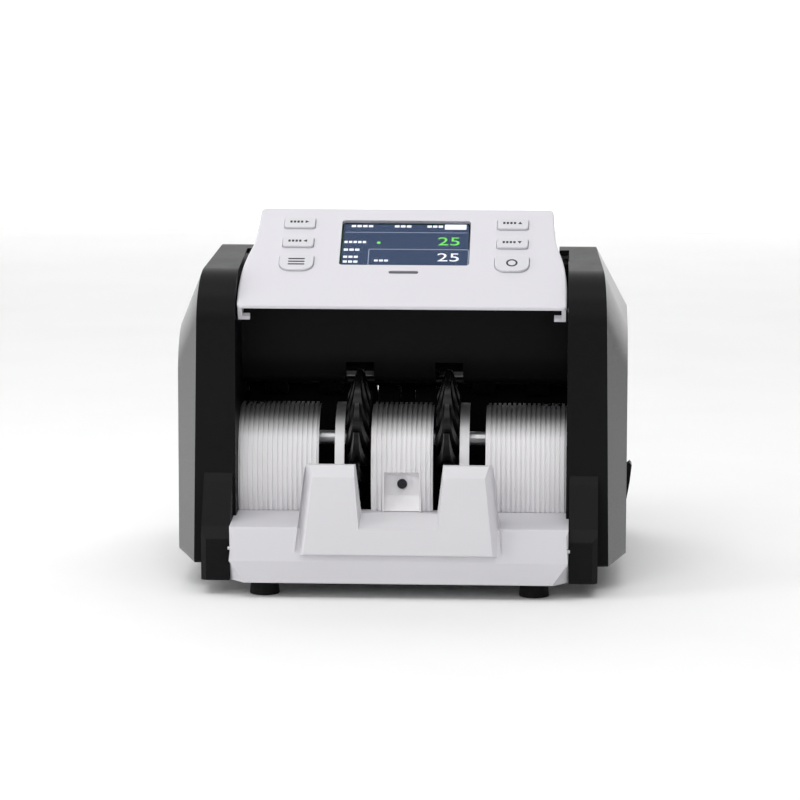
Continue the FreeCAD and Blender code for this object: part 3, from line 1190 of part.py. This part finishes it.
    save("pinch_rollers", *(tyres(wide_pairs, PINCH_Y, PINCH_Z, PINCH_R, PINCH_R - SMALL_SHAFT_R)
                            + [rod(-FRAME_OUT - 5, FRAME_OUT + 5, PINCH_Y, PINCH_Z, SMALL_SHAFT_R)]))
    motor_x = THROAT - SLACK - MOTOR_LONG
    save("main_motor", motor(MOTOR_Y, MOTOR_Z, MOTOR_R, MOTOR_LONG, motor_x, 1))
    save("main_motor_pulley", joined([
        rod(THROAT - 12, BELT_IN + BELT_W + 1, MOTOR_Y, MOTOR_Z, MOTOR_SHAFT_R),
        pulley(BELT_IN, MOTOR_Y, MOTOR_Z, MOTOR_PULLEY_R, 1.0)]))
    save("drive_belts",
         belt(FEED_Y, FEED_Z, FEED_PULLEY_R, MOTOR_Y, MOTOR_Z, MOTOR_PULLEY_R, BELT_IN),
         belt(FEED_Y, FEED_Z, LINK_PULLEY_R, PICK_Y, PICK_Z, LINK_PULLEY_R, BELT_FAR + 1.2),
         belt(FEED_Y, FEED_Z, LINK_PULLEY_R, EXIT_Y, EXIT_Z, EXIT_PULLEY_R, -BELT_IN - BELT_W),
         belt(STACK_Y, STACK_Z, STACK_PULLEY_R, STACK_MOTOR_Y, STACK_MOTOR_Z, STACK_MOTOR_PULLEY_R,
              -BELT_IN - BELT_W))
    bushes = []
    for y, z, r in SHAFTS.values():
        bush = rod(FRAME_IN, FRAME_IN + BUSH_LONG, y, z, r + BUSH_WALL)
        bush = bush.fuse(rod(FRAME_OUT, FRAME_OUT + 1, y, z, r + BUSH_WALL + BUSH_RIM))
        bush = bush.cut(rod(0, 2 * HOUSING_OUT, y, z, r + RUN_FIT))
        bushes += [bush, mirrored(bush)]
    save("shaft_bushes", *bushes)

    # rear and electrics
    save("rear_sill", rear_sill())
    inlet, pins = mains_inlet()
    save("mains_inlet", inlet, *pins)
    save("rear_cover", rear_cover())
    save("rocker_bezel", rocker_bezel())
    save("power_rocker", rocker())
    board = box(-BOARD_EDGE, -BOARD_EDGE + MAIN_BOARD_WIDE, 132, 224, BOARD_Z, BOARD_Z + BOARD_T)
    chip_low = BOARD_Z + BOARD_T - 0.2
    chips = [
        box(x - BOARD_EDGE, x - BOARD_EDGE + wide, y, y + deep, chip_low, BOARD_Z + tall)
        for x, wide, y, deep, tall in ((14, 18, 150, 18, 4), (44, 12, 190, 24, 6), (6, 12, 196, 20, 6))
    ]
    supply = box(BOARD_EDGE - POWER_BOARD_WIDE, BOARD_EDGE, 192, 224, BOARD_Z, BOARD_Z + BOARD_T)
    save("circuit_boards", joined([board] + chips), supply)


main()
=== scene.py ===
import json
import math
import bmesh
import bpy
from mathutils import Matrix, Vector


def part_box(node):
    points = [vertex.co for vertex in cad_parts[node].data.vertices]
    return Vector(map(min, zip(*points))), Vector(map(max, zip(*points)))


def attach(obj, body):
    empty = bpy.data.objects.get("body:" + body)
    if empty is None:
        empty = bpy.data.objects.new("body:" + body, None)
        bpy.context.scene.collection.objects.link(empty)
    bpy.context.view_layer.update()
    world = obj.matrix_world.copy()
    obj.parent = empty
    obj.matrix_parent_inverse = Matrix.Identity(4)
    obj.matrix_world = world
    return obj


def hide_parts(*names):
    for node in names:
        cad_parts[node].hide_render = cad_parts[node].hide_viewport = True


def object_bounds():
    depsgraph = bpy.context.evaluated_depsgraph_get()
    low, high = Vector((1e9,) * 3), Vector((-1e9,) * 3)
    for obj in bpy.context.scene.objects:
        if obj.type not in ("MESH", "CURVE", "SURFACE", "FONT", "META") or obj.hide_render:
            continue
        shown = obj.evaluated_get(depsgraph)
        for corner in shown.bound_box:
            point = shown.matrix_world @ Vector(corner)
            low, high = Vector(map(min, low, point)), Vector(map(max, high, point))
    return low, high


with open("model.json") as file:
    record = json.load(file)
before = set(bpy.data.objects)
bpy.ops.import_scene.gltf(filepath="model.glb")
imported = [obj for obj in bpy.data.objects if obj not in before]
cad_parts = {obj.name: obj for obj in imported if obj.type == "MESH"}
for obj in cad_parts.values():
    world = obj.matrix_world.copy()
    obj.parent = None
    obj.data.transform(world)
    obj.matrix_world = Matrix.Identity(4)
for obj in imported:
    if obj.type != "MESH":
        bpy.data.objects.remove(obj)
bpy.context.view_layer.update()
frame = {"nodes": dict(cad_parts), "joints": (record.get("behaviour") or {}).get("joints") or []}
NODES = frame["nodes"]
scene = bpy.context.scene
MM = 0.001

# ---- materials ----------------------------------------------------------------------------------


class Shader:
    """Small helper round one node tree."""

    def __init__(self, name):
        self.material = bpy.data.materials.new(name)
        self.material.use_nodes = True
        self.nodes = self.material.node_tree.nodes
        self.links = self.material.node_tree.links
        self.bsdf = self.nodes["Principled BSDF"]
        self.coords = self.nodes.new("ShaderNodeTexCoord")

    def link(self, source, target):
        self.links.new(source, target)

    def stretched(self, sx, sy, sz):
        mapping = self.nodes.new("ShaderNodeMapping")
        mapping.inputs["Scale"].default_value = (sx, sy, sz)
        self.link(self.coords.outputs["Object"], mapping.inputs["Vector"])
        return mapping.outputs["Vector"]

    def noise(self, scale, detail=3.0, rough=0.5, vector=None):
        node = self.nodes.new("ShaderNodeTexNoise")
        node.inputs["Scale"].default_value = scale
        node.inputs["Detail"].default_value = detail
        node.inputs["Roughness"].default_value = rough
        self.link(vector or self.coords.outputs["Object"], node.inputs["Vector"])
        return node.outputs["Fac"]

    def cells(self, scale):
        node = self.nodes.new("ShaderNodeTexVoronoi")
        node.inputs["Scale"].default_value = scale
        self.link(self.coords.outputs["Object"], node.inputs["Vector"])
        return node.outputs["Distance"]

    def ramp(self, fac, stops):
        node = self.nodes.new("ShaderNodeValToRGB")
        ramp = node.color_ramp
        while len(ramp.elements) < len(stops):
            ramp.elements.new(0.5)
        for element, (at, colour) in zip(ramp.elements, stops):
            element.position = at
            element.color = (*colour, 1.0)
        self.link(fac, node.inputs["Fac"])
        return node.outputs["Color"]

    def span(self, fac, low, high):
        node = self.nodes.new("ShaderNodeMapRange")
        node.inputs["To Min"].default_value = low
        node.inputs["To Max"].default_value = high
        self.link(fac, node.inputs["Value"])
        return node.outputs["Result"]

    def add(self, first, second, amount):
        node = self.nodes.new("ShaderNodeMath")
        node.operation = "MULTIPLY_ADD"
        node.inputs[1].default_value = amount
        self.link(second, node.inputs[0])
        self.link(first, node.inputs[2])
        return node.outputs["Value"]

    def fade(self, colour, low, high, dark):
        """Painted shade: colour scaled from 1 down to dark between two heights on the object."""
        place = self.nodes.new("ShaderNodeSeparateXYZ")
        self.link(self.coords.outputs["Object"], place.inputs["Vector"])
        level = self.nodes.new("ShaderNodeMapRange")
        level.interpolation_type = "SMOOTHSTEP"
        for name, value in (("From Min", low), ("From Max", high), ("To Min", 1.0), ("To Max", dark)):
            level.inputs[name].default_value = value
        self.link(place.outputs["Z"], level.inputs["Value"])
        scaled = self.nodes.new("ShaderNodeVectorMath")
        scaled.operation = "SCALE"
        self.link(colour, scaled.inputs[0])
        self.link(level.outputs["Result"], scaled.inputs["Scale"])
        return scaled.outputs["Vector"]

    def bump(self, height, distance):
        node = self.nodes.new("ShaderNodeBump")
        node.inputs["Strength"].default_value = 1.0
        node.inputs["Distance"].default_value = distance
        self.link(height, node.inputs["Height"])
        self.link(node.outputs["Normal"], self.bsdf.inputs["Normal"])

    def set(self, **values):
        for name, value in values.items():
            self.bsdf.inputs[name.replace("_", " ")].default_value = value


def tint(colour, factor):
    """Colour made lighter or darker."""
    return tuple(min(1.0, c * factor) for c in colour)


def plastic(name, colour, rough, grain, depth, mottle, specular=0.5, shade=None):
    """Moulded plastic: faint mottling, spark-eroded grain, uneven gloss, perhaps with painted shade that
    darkens it with height.
    """
    s = Shader(name)
    broad = s.noise(14.0, 4.0, 0.55)
    tone = s.ramp(broad, [(0.3, tint(colour, 1 - mottle)), (0.7, tint(colour, 1 + mottle))])
    # painted shade, when given, darkens the colour towards the top
    s.link(s.fade(tone, *shade) if shade else tone, s.bsdf.inputs["Base Color"])
    s.link(s.span(s.noise(55.0, 4.0, 0.6), rough - 0.05, rough + 0.06), s.bsdf.inputs["Roughness"])
    fine = s.add(s.cells(grain), s.noise(grain * 1.7, 2.0), 0.5)
    s.bump(s.add(fine, broad, 1.2), depth)
    s.set(Specular_IOR_Level=specular)
    return s.material


def lacquer(name, colour):
    """Satin lacquer with a fine metal flake."""
    s = Shader(name)
    flake = s.cells(2600.0)
    s.link(s.ramp(flake, [(0.0, tint(colour, 1.45)), (0.35, colour), (1.0, tint(colour, 0.8))]),
           s.bsdf.inputs["Base Color"])
    s.link(s.span(s.noise(40.0, 5.0, 0.6), 0.34, 0.46), s.bsdf.inputs["Roughness"])
    s.bump(s.add(s.noise(900.0, 2.0), s.noise(20.0), 2.0), 0.00003)
    s.set(Metallic=0.35, Specular_IOR_Level=0.5)
    return s.material


def metal(name, colour, rough, along):
    """Brushed metal with streaks along one axis."""
    s = Shader(name)
    scale = [900.0, 900.0, 900.0]
    scale["xyz".index(along)] = 18.0
    streak = s.noise(1.0, 3.0, 0.6, s.stretched(*scale))
    s.link(s.ramp(streak, [(0.3, tint(colour, 0.85)), (0.7, tint(colour, 1.1))]),
           s.bsdf.inputs["Base Color"])
    s.link(s.span(streak, rough - 0.08, rough + 0.1), s.bsdf.inputs["Roughness"])
    s.bump(streak, 0.00002)
    s.set(Metallic=1.0)
    return s.material


def rubber(name, colour):
    """Matt rubber with a little dust."""
    s = Shader(name)
    dust = s.noise(60.0, 6.0, 0.7)
    s.link(s.ramp(dust, [(0.35, colour), (0.75, tint(colour, 2.2))]), s.bsdf.inputs["Base Color"])
    s.link(s.span(dust, 0.7, 0.9), s.bsdf.inputs["Roughness"])
    s.bump(s.noise(1400.0, 3.0), 0.00006)
    s.set(Specular_IOR_Level=0.25)
    return s.material


def lit(name, colour, strength):
    """Backlit display ink: glows a little unevenly."""
    s = Shader(name)
    rough = 0.35
    glow = s.noise(30.0, 2.0)
    shade = s.ramp(glow, [(0.3, tint(colour, 0.94)), (0.7, tint(colour, 1.03))])
    s.link(s.ramp(glow, [(0.3, tint(colour, 0.30)), (0.7, tint(colour, 0.34))]),
           s.bsdf.inputs["Base Color"])
    s.link(shade, s.bsdf.inputs["Emission Color"])
    s.link(s.span(glow, rough - 0.03, rough + 0.03), s.bsdf.inputs["Roughness"])
    s.set(Emission_Strength=strength, Specular_IOR_Level=0.06)
    return s.material


def lens_glass(name):
    """Clear lens with faint smears."""
    s = Shader(name)
    smear = s.noise(35.0, 5.0, 0.7)
    s.link(s.span(smear, 0.03, 0.09), s.bsdf.inputs["Roughness"])
    s.link(s.ramp(smear, [(0.3, (0.97, 0.98, 1.0)), (0.7, (1.0, 1.0, 1.0))]),
           s.bsdf.inputs["Base Color"])
    s.set(Transmission_Weight=1.0, IOR=1.10)
    return s.material


def board_lacquer(name, colour):
    """Circuit board with lighter tracks."""
    s = Shader(name)
    tracks = s.cells(260.0)
    s.link(s.ramp(tracks, [(0.2, tint(colour, 1.6)), (0.3, colour)]), s.bsdf.inputs["Base Color"])
    s.link(s.span(tracks, 0.25, 0.4), s.bsdf.inputs["Roughness"])
    s.bump(tracks, 0.00004)
    return s.material


# painted shade on the stacker plates, standing in for the head's shadow: two heights, and how dark the
# colour is painted above the upper one
PLATE_PAINTED_SHADE = (0.083, 0.098, 0.10)

# the white mouldings are copies of one white plastic whose brightness is set part by part, partly each
# part's own tone and partly painted light: the plates lighter, the head, tray, stop and keys darker as
# painted shade
WHITE_TRAY = plastic("white_tray", (0.7085, 0.6977, 0.7301), rough=0.42, grain=2400.0,
                     depth=0.000012, mottle=0.012, specular=0.35)
WHITE_STOP = plastic("white_stop", (0.7486, 0.7379, 0.7647), rough=0.38, grain=2400.0,
                     depth=0.000010, mottle=0.012, specular=0.4)
WHITE = plastic("white_moulding_painted_shade", (0.9554, 0.9448, 0.96), rough=0.36, grain=2400.0,
                depth=0.000004, mottle=0.012, specular=0.4, shade=PLATE_PAINTED_SHADE)
WHITE_HEAD = plastic("white_head", (0.7139, 0.7011, 0.7436), rough=0.36, grain=2600.0,
                     depth=0.000010, mottle=0.010, specular=0.4)
WHITE_KEY = plastic("white_key", (0.6811, 0.6811, 0.7129), rough=0.30, grain=2800.0,
                    depth=0.000006, mottle=0.008)
BLACK = plastic("black_moulding", (0.0047, 0.0047, 0.0054), rough=0.42, grain=1500.0,
                depth=0.00003, mottle=0.12, specular=0.12)
BLACK_INNER = plastic("black_inner", (0.0044, 0.0044, 0.0048), rough=0.55, grain=1500.0,
                      depth=0.00003, mottle=0.15, specular=0.10)
WHEEL_BLACK = plastic("wheel_black", (0.0033, 0.0033, 0.0038), rough=0.30, grain=1800.0,
                      depth=0.00002, mottle=0.15, specular=0.26)
GREY = lacquer("graphite_lacquer", (0.2079, 0.2079, 0.211))
RUBBER = rubber("black_rubber", (0.0044, 0.0044, 0.0044))
STEEL = metal("turned_steel", (0.56, 0.56, 0.58), 0.32, "x")
# copy of the turned steel made brighter for the stacker shaft: painted light, so the shaft catches more
# light
BRIGHT_STEEL = metal("shaft_steel_painted_light", (0.80, 0.80, 0.82), 0.38, "x")
SHEET = metal("zinc_sheet", (0.50, 0.51, 0.52), 0.42, "y")
DARK_STEEL = metal("black_oxide", (0.045, 0.045, 0.05), 0.42, "x")
BOARD = board_lacquer("board_lacquer", (0.015, 0.13, 0.05))
LENS = lens_glass("lens_glass")
SCREEN_BLUE = lit("screen_blue", (0.040, 0.066, 0.138), 0.66)
INK_WHITE = lit("screen_white", (0.80, 0.84, 0.90), 1.0)
INK_LINE = lit("screen_line", (0.38, 0.44, 0.56), 0.75)
INK_GREEN = lit("screen_green", (0.16, 0.66, 0.10), 1.0)
INK_KEY = plastic("key_print", (0.010, 0.010, 0.013), rough=0.5, grain=2200.0,
                  depth=0.000004, mottle=0.05)
PILL_GREY = lit("status_window", (0.30, 0.31, 0.34), 0.15)

MATERIAL_OF = {
    WHITE_TRAY: ["stacker_tray"],
    WHITE_STOP: ["note_stop"],
    WHITE: ["stacker_plate_left", "stacker_plate_right", "stacker_plate_middle", "guide_strips"],
    WHITE_HEAD: ["head_shell"],
    BLACK: ["side_housing_left", "side_housing_right", "front_cheeks", "rear_cover", "rear_sill",
            "gap_knob", "rocker_bezel", "power_rocker", "mains_inlet", "hopper_floor",
            "note_guide_left", "note_guide_right"],
    BLACK_INNER: ["front_panel", "inner_shield", "feed_bridge", "retard_holder", "plate_rail",
                  "head_base", "feed_pulleys", "stacker_motor_pulley", "main_motor_pulley"],
    WHEEL_BLACK: ["stacker_wheels"],
    GREY: ["side_cover_left", "side_cover_right"],
    RUBBER: ["rubber_feet", "feed_rollers", "pickup_rollers", "exit_rollers", "pinch_rollers",
             "drive_belts"],
    STEEL: ["tie_rods", "feed_shaft", "pickup_shaft", "shaft_bushes", "main_motor", "stacker_motor"],
    BRIGHT_STEEL: ["stacker_shaft"],
    SHEET: ["side_frames", "base_pan"],
    DARK_STEEL: ["screws", "stack_sensor", "exit_shaft"],
    BOARD: ["keypad_board", "circuit_boards"],
    LENS: ["screen_lens"],
    PILL_GREY: ["status_window"],
}


def dress(node, material):
    """Give every slot of a node one material."""
    mesh = NODES[node].data
    if not mesh.materials:
        mesh.materials.append(material)
    for place in NODES[node].material_slots:
        place.link = "OBJECT"
        place.material = material


for material, names in MATERIAL_OF.items():
    for node in names:
        dress(node, material)
KEYS = sorted(n for n in NODES if n.startswith("key_"))
for node in KEYS:
    dress(node, WHITE_KEY)

# ---- the head's own directions -------------------------------------------------------------------
press = next(j for j in frame["joints"] if j["name"] == "key_top_left_press")
OUT = -Vector(press["axis"]).normalized()
ACROSS = Vector((1.0, 0.0, 0.0))
UP = OUT.cross(ACROSS).normalized()


def middle(node):
    """Centre of a node's box."""
    low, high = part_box(node)
    return (Vector(low) + Vector(high)) / 2


def reach(node, way):
    """Furthest distance of a node's points along a direction."""
    return max(v.co.dot(way) for v in NODES[node].data.vertices)


def on_plane(point, height):
    """Point moved square to the head so that it lies at a height along OUT."""
    return point + OUT * (height - point.dot(OUT))


def piece(name, mesh, material, body):
    """Object that rides on a body."""
    obj = bpy.data.objects.new(name, mesh)
    scene.collection.objects.link(obj)
    obj.data.materials.clear()
    obj.data.materials.append(material)
    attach(obj, body)
    return obj


def slab(name, outline, origin, thick, material, body, edge=0.0):
    """Flat piece on the head: outline points are metres across and up the slope from the origin."""
    bm = bmesh.new()
    low = [bm.verts.new(origin + ACROSS * x + UP * y) for x, y in outline]
    face = bm.faces.new(low)
    bm.normal_update()
    if face.normal.dot(OUT) < 0:
        face.normal_flip()
    top = bmesh.ops.extrude_face_region(bm, geom=[face])
    moved = [v for v in top["geom"] if isinstance(v, bmesh.types.BMVert)]
    bmesh.ops.translate(bm, verts=moved, vec=OUT * thick)
    bmesh.ops.recalc_face_normals(bm, faces=bm.faces)
    if edge > 0:
        rim = [e for e in bm.edges if all(v in moved for v in e.verts)]
        bmesh.ops.bevel(bm, geom=rim, offset=edge, segments=2, affect="EDGES")
    mesh = bpy.data.meshes.new(name)
    bm.to_mesh(mesh)
    bm.free()
    return piece(name, mesh, material, body)


def rounded(width, tall, r, cx=0.0, cy=0.0):
    """Outline of a rectangle with rounded corners."""
    steps = 5
    points = []
    for sx, sy, start in ((1, 1, 0), (-1, 1, 90), (-1, -1, 180), (1, -1, 270)):
        corner_x, corner_y = cx + sx * (width / 2 - r), cy + sy * (tall / 2 - r)
        for i in range(steps + 1):
            a = math.radians(start + 90 * i / steps)
            points.append((corner_x + r * math.cos(a), corner_y + r * math.sin(a)))
    return points


def ring(name, width, tall, r, line, cx, cy, origin, thick, material, body):
    """Thin rounded frame."""
    outer = rounded(width, tall, r, cx, cy)
    inner = rounded(width - 2 * line, tall - 2 * line, max(r - line, 0.0001), cx, cy)
    bm = bmesh.new()
    rings = []
    for h in (0.0, thick):
        for loop in (outer, inner):
            rings.append([bm.verts.new(origin + ACROSS * x + UP * y + OUT * h) for x, y in loop])
    low_out, low_in, high_out, high_in = rings
    n = len(outer)
    for i in range(n):
        j = (i + 1) % n
        bm.faces.new((high_out[i], high_out[j], high_in[j], high_in[i]))
        bm.faces.new((low_out[j], low_out[i], low_in[i], low_in[j]))
        bm.faces.new((low_out[i], low_out[j], high_out[j], high_out[i]))
        bm.faces.new((low_in[j], low_in[i], high_in[i], high_in[j]))
    bmesh.ops.recalc_face_normals(bm, faces=bm.faces)
    mesh = bpy.data.meshes.new(name)
    bm.to_mesh(mesh)
    bm.free()
    return piece(name, mesh, material, body)


def number(name, text, size, broad, cx, cy, origin, thick, material, body):
    """Plain figures as a thin solid."""
    curve = bpy.data.curves.new(name + "_figures", "FONT")
    curve.body = text
    curve.size = size
    curve.extrude = thick / 2
    curve.align_x = "CENTER"
    curve.align_y = "CENTER"
    carrier = bpy.data.objects.new(name + "_carrier", curve)
    scene.collection.objects.link(carrier)
    bpy.context.view_layer.update()
    ready = carrier.evaluated_get(bpy.context.evaluated_depsgraph_get())
    mesh = bpy.data.meshes.new_from_object(ready)
    bpy.data.objects.remove(carrier)
    bpy.data.curves.remove(curve)
    turn = Matrix((ACROSS, UP, OUT)).transposed().to_4x4()
    place = (Matrix.Translation(origin + ACROSS * cx + UP * cy + OUT * thick / 2) @ turn
             @ Matrix.Diagonal((broad, 1.0, 1.0, 1.0)))
    mesh.transform(place)
    mesh.name = name
    return piece(name, mesh, material, body)


# ---- display -------------------------------------------------------------------------------------
INK = 0.00004                       # thickness of every printed or lit sign
PANEL_GAP = 0.00015                 # between the lens and the lit panel
PANEL_IN = (0.002, 0.0025)          # the panel is this much smaller than the lens, across and up
HEADER_Y = 17.2                     # the sizes from here to the signs are mm from the lens's middle
HEADER_ROWS = ((-25.5, 4, 12.5), (-2.0, 3, 9.6), (16.5, 3, 9.0))
SIDE_LEFT = -35.2
SIDE_ROWS = ((2.5, 5, 12.5), (-4.5, 3, 9.0), (-11.0, 3, 8.4), (-15.4, 3, 8.4))
ROW_TALL = 2.0
BLOCK_GAP = 0.7
BOX_X, BOX_Y, BOX_WIDE, BOX_TALL = 7.8, -11.2, 57.5, 15.0
COUNT_X, COUNT_TOP_Y, COUNT_LOW_Y = 25.0, 3.2, -11.4
COUNT_SIZE, COUNT_BROAD = 10.5, 1.3

lens_mid = middle("screen_lens")
glass_back = -reach("screen_lens", -OUT)
module_back = -reach("display_module", -OUT)
lens_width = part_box("screen_lens")[1][0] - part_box("screen_lens")[0][0]
lens_tall = reach("screen_lens", UP) + reach("screen_lens", -UP)
panel_top = glass_back - PANEL_GAP
module_origin = on_plane(lens_mid, module_back)
panel = slab("screen_panel", rounded(lens_width - PANEL_IN[0], lens_tall - PANEL_IN[1], 0.001),
             module_origin, panel_top - module_back, SCREEN_BLUE, "chassis", 0.0003)
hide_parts("display_module")
ui = on_plane(lens_mid, panel_top)


def bar(name, x, y, width, tall, material, r=0.0003):
    """Lit bar, in mm from the lens's middle."""
    outline = rounded(width * MM, tall * MM, min(r, tall * MM / 2.01), x * MM, y * MM)
    slab(name, outline, ui, INK, material, "chassis")


def blocks(name, x, y, count, width, tall):
    """Row of small lit blocks, centred on a point."""
    pitch = (width + BLOCK_GAP) / count
    for k in range(count):
        at = x + (k - (count - 1) / 2) * pitch
        bar(f"{name}_{k}", at, y, pitch - BLOCK_GAP, tall, INK_WHITE, 0.0002)


# header: three rows of blocks, a white tag and a rule
for letter, (x, count, width) in zip("abc", HEADER_ROWS):
    blocks("ui_head_" + letter, x, HEADER_Y, count, width, ROW_TALL)
bar("ui_tag", 28.3, 16.8, 12.5, 4.6, INK_WHITE)
bar("ui_rule", 0.0, 11.5, 70.0, 0.35, INK_LINE, 0.0001)
# left column of small rows
for i, (y, count, width) in enumerate(SIDE_ROWS):
    blocks(f"ui_side_{i}", SIDE_LEFT + width / 2, y, count, width, ROW_TALL)
bar("ui_dot", -15.4, 2.0, 2.2, 2.2, INK_GREEN, 0.00108)
blocks("ui_unit", -13.4, -14.2, 3, 8.0, 1.8)
ring("ui_box", BOX_WIDE * MM, BOX_TALL * MM, 0.0012, 0.00045, BOX_X * MM, BOX_Y * MM, ui, INK,
     INK_LINE, "chassis")
for name, y, ink in (("ui_count_top", COUNT_TOP_Y, INK_GREEN), ("ui_count_low", COUNT_LOW_Y, INK_WHITE)):
    number(name, "25", COUNT_SIZE * MM, COUNT_BROAD, COUNT_X * MM, y * MM, ui, INK, ink,
           "chassis")

# ---- key legends ---------------------------------------------------------------------------------
ARROWS = {
    "key_top_left": 0, "key_middle_left": 180, "key_top_right": 90, "key_middle_right": 270,
}
ARROW = ((1.25, 0.0), (-0.95, 1.25), (-0.95, -1.25))
ARROW_X = 4.1
BLOCKS, BLOCK_WIDE, BLOCK_TALL, BLOCK_PITCH, BLOCK_FIRST = 4, 1.35, 1.9, 2.05, -5.0225
LINE_WIDE, LINE_TALL, LINE_PITCH = 9.5, 1.1, 2.4
RING_SIZE, RING_LINE = 6.6, 1.1


def legend(key):
    """Sign printed on a key: blocks and an arrow, three lines, or a ring."""
    face = on_plane(middle(key), reach(key, OUT) - INK / 2)

    def mark(name, outline):
        slab(name, outline, face, INK, INK_KEY, key)

    if key in ARROWS:
        for i in range(BLOCKS):
            at = (BLOCK_FIRST + i * BLOCK_PITCH) * MM
            mark(f"legend_dash_{key}_{i}", rounded(BLOCK_WIDE * MM, BLOCK_TALL * MM, 0.2 * MM, at, 0.0))
        a = math.radians(ARROWS[key])
        mark("legend_arrow_" + key, [
            ((ARROW_X + x * math.cos(a) - y * math.sin(a)) * MM, (x * math.sin(a) + y * math.cos(a)) * MM)
            for x, y in ARROW
        ])
    elif key == "key_low_left":
        for i in (-1, 0, 1):
            line = rounded(LINE_WIDE * MM, LINE_TALL * MM, 0.4 * MM, 0.0, i * LINE_PITCH * MM)
            mark(f"legend_line_{i + 1}", line)
    else:
        size = RING_SIZE * MM
        ring("legend_ring", size, size, size / 2, RING_LINE * MM, 0.0, 0.0, face, INK, INK_KEY, key)


for key in KEYS:
    legend(key)

# ---- floor, light, camera ------------------------------------------------------------------------
low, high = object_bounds()
centre = (Vector(low) + Vector(high)) / 2

bpy.ops.mesh.primitive_plane_add(size=6.0, location=(0, 0, 0))
floor = bpy.context.object
floor.name = "floor"
paper = Shader("paper_floor")
fibre = paper.noise(8.0, 4.0)
white = paper.ramp(fibre, [(0.3, (0.93, 0.93, 0.93)), (0.7, (0.95, 0.95, 0.95))])
paper.link(white, paper.bsdf.inputs["Base Color"])
paper.set(Roughness=0.9, Specular_IOR_Level=0.1)
floor.data.materials.append(paper.material)

bpy.ops.mesh.primitive_plane_add(size=8.0, location=(0, 1.9, 0), rotation=(math.radians(90), 0, 0))
wall = bpy.context.object
wall.name = "backdrop"
glow = Shader("backdrop_glow")
wash = glow.ramp(glow.noise(0.6, 2.0), [(0.3, (0.985, 0.985, 0.985)), (0.7, (1.0, 1.0, 1.0))])
glow.link(wash, glow.bsdf.inputs["Base Color"])
glow.link(wash, glow.bsdf.inputs["Emission Color"])
glow.set(Emission_Strength=1.05, Roughness=0.9, Specular_IOR_Level=0.1)
wall.data.materials.append(glow.material)

world = bpy.data.worlds.new("studio")
scene.world = world
world.use_nodes = True
sky = world.node_tree.nodes["Background"]
sky.inputs["Color"].default_value = (1.0, 1.0, 1.0, 1.0)
sky.inputs["Strength"].default_value = 0.056
scene.view_settings.view_transform = "Standard"


def area_light(name, size, energy, place, target):
    """Softbox that faces a point."""
    light = bpy.data.lights.new(name, "AREA")
    light.shape = "RECTANGLE"
    light.size, light.size_y = size
    light.energy = energy
    obj = bpy.data.objects.new(name, light)
    scene.collection.objects.link(obj)
    obj.location = place
    obj.rotation_euler = (Vector(target) - Vector(place)).to_track_quat("-Z", "Y").to_euler()


area_light("overhead", (2.4, 1.6), 16.37, (0.0, -0.15, 1.6), centre)
area_light("front", (1.6, 1.0), 9.6, (-0.2, -1.8, 1.0), centre)
area_light("left_strip", (0.5, 1.2), 6.56, (-1.3, -0.55, 0.6), centre)
area_light("high_front", (1.4, 0.6), 5.21, (-0.1, -0.95, 1.75), centre)
area_light("right_strip", (0.35, 1.0), 0.13, (1.3, -0.5, 0.55), centre)

# camera: angles round the target, lens and shifts in the camera's own units
AZIMUTH, ELEVATION, ROLL = math.radians(2.72), math.radians(8.5), math.radians(-0.12)
DISTANCE = 2.2
AIM_BEHIND_FRONT, AIM_HEIGHT = 0.0615, 0.1
camera_data = bpy.data.cameras.new("camera")
camera_data.sensor_width = 36.0
camera_data.lens = 173.295
camera_data.shift_x = -0.004125
camera_data.shift_y = 0.008875
camera_data.clip_end = 20.0
camera = bpy.data.objects.new("camera", camera_data)
scene.collection.objects.link(camera)
target = Vector((middle("head_shell")[0], low[1] + AIM_BEHIND_FRONT, AIM_HEIGHT))
level = math.cos(ELEVATION)
back = Vector((math.sin(AZIMUTH) * level, -math.cos(AZIMUTH) * level, math.sin(ELEVATION)))
camera.location = target + back * DISTANCE
facing = back.to_track_quat("Z", "Y").to_matrix().to_4x4()
camera.rotation_euler = (facing @ Matrix.Rotation(-ROLL, 4, "Z")).to_euler()
scene.camera = camera
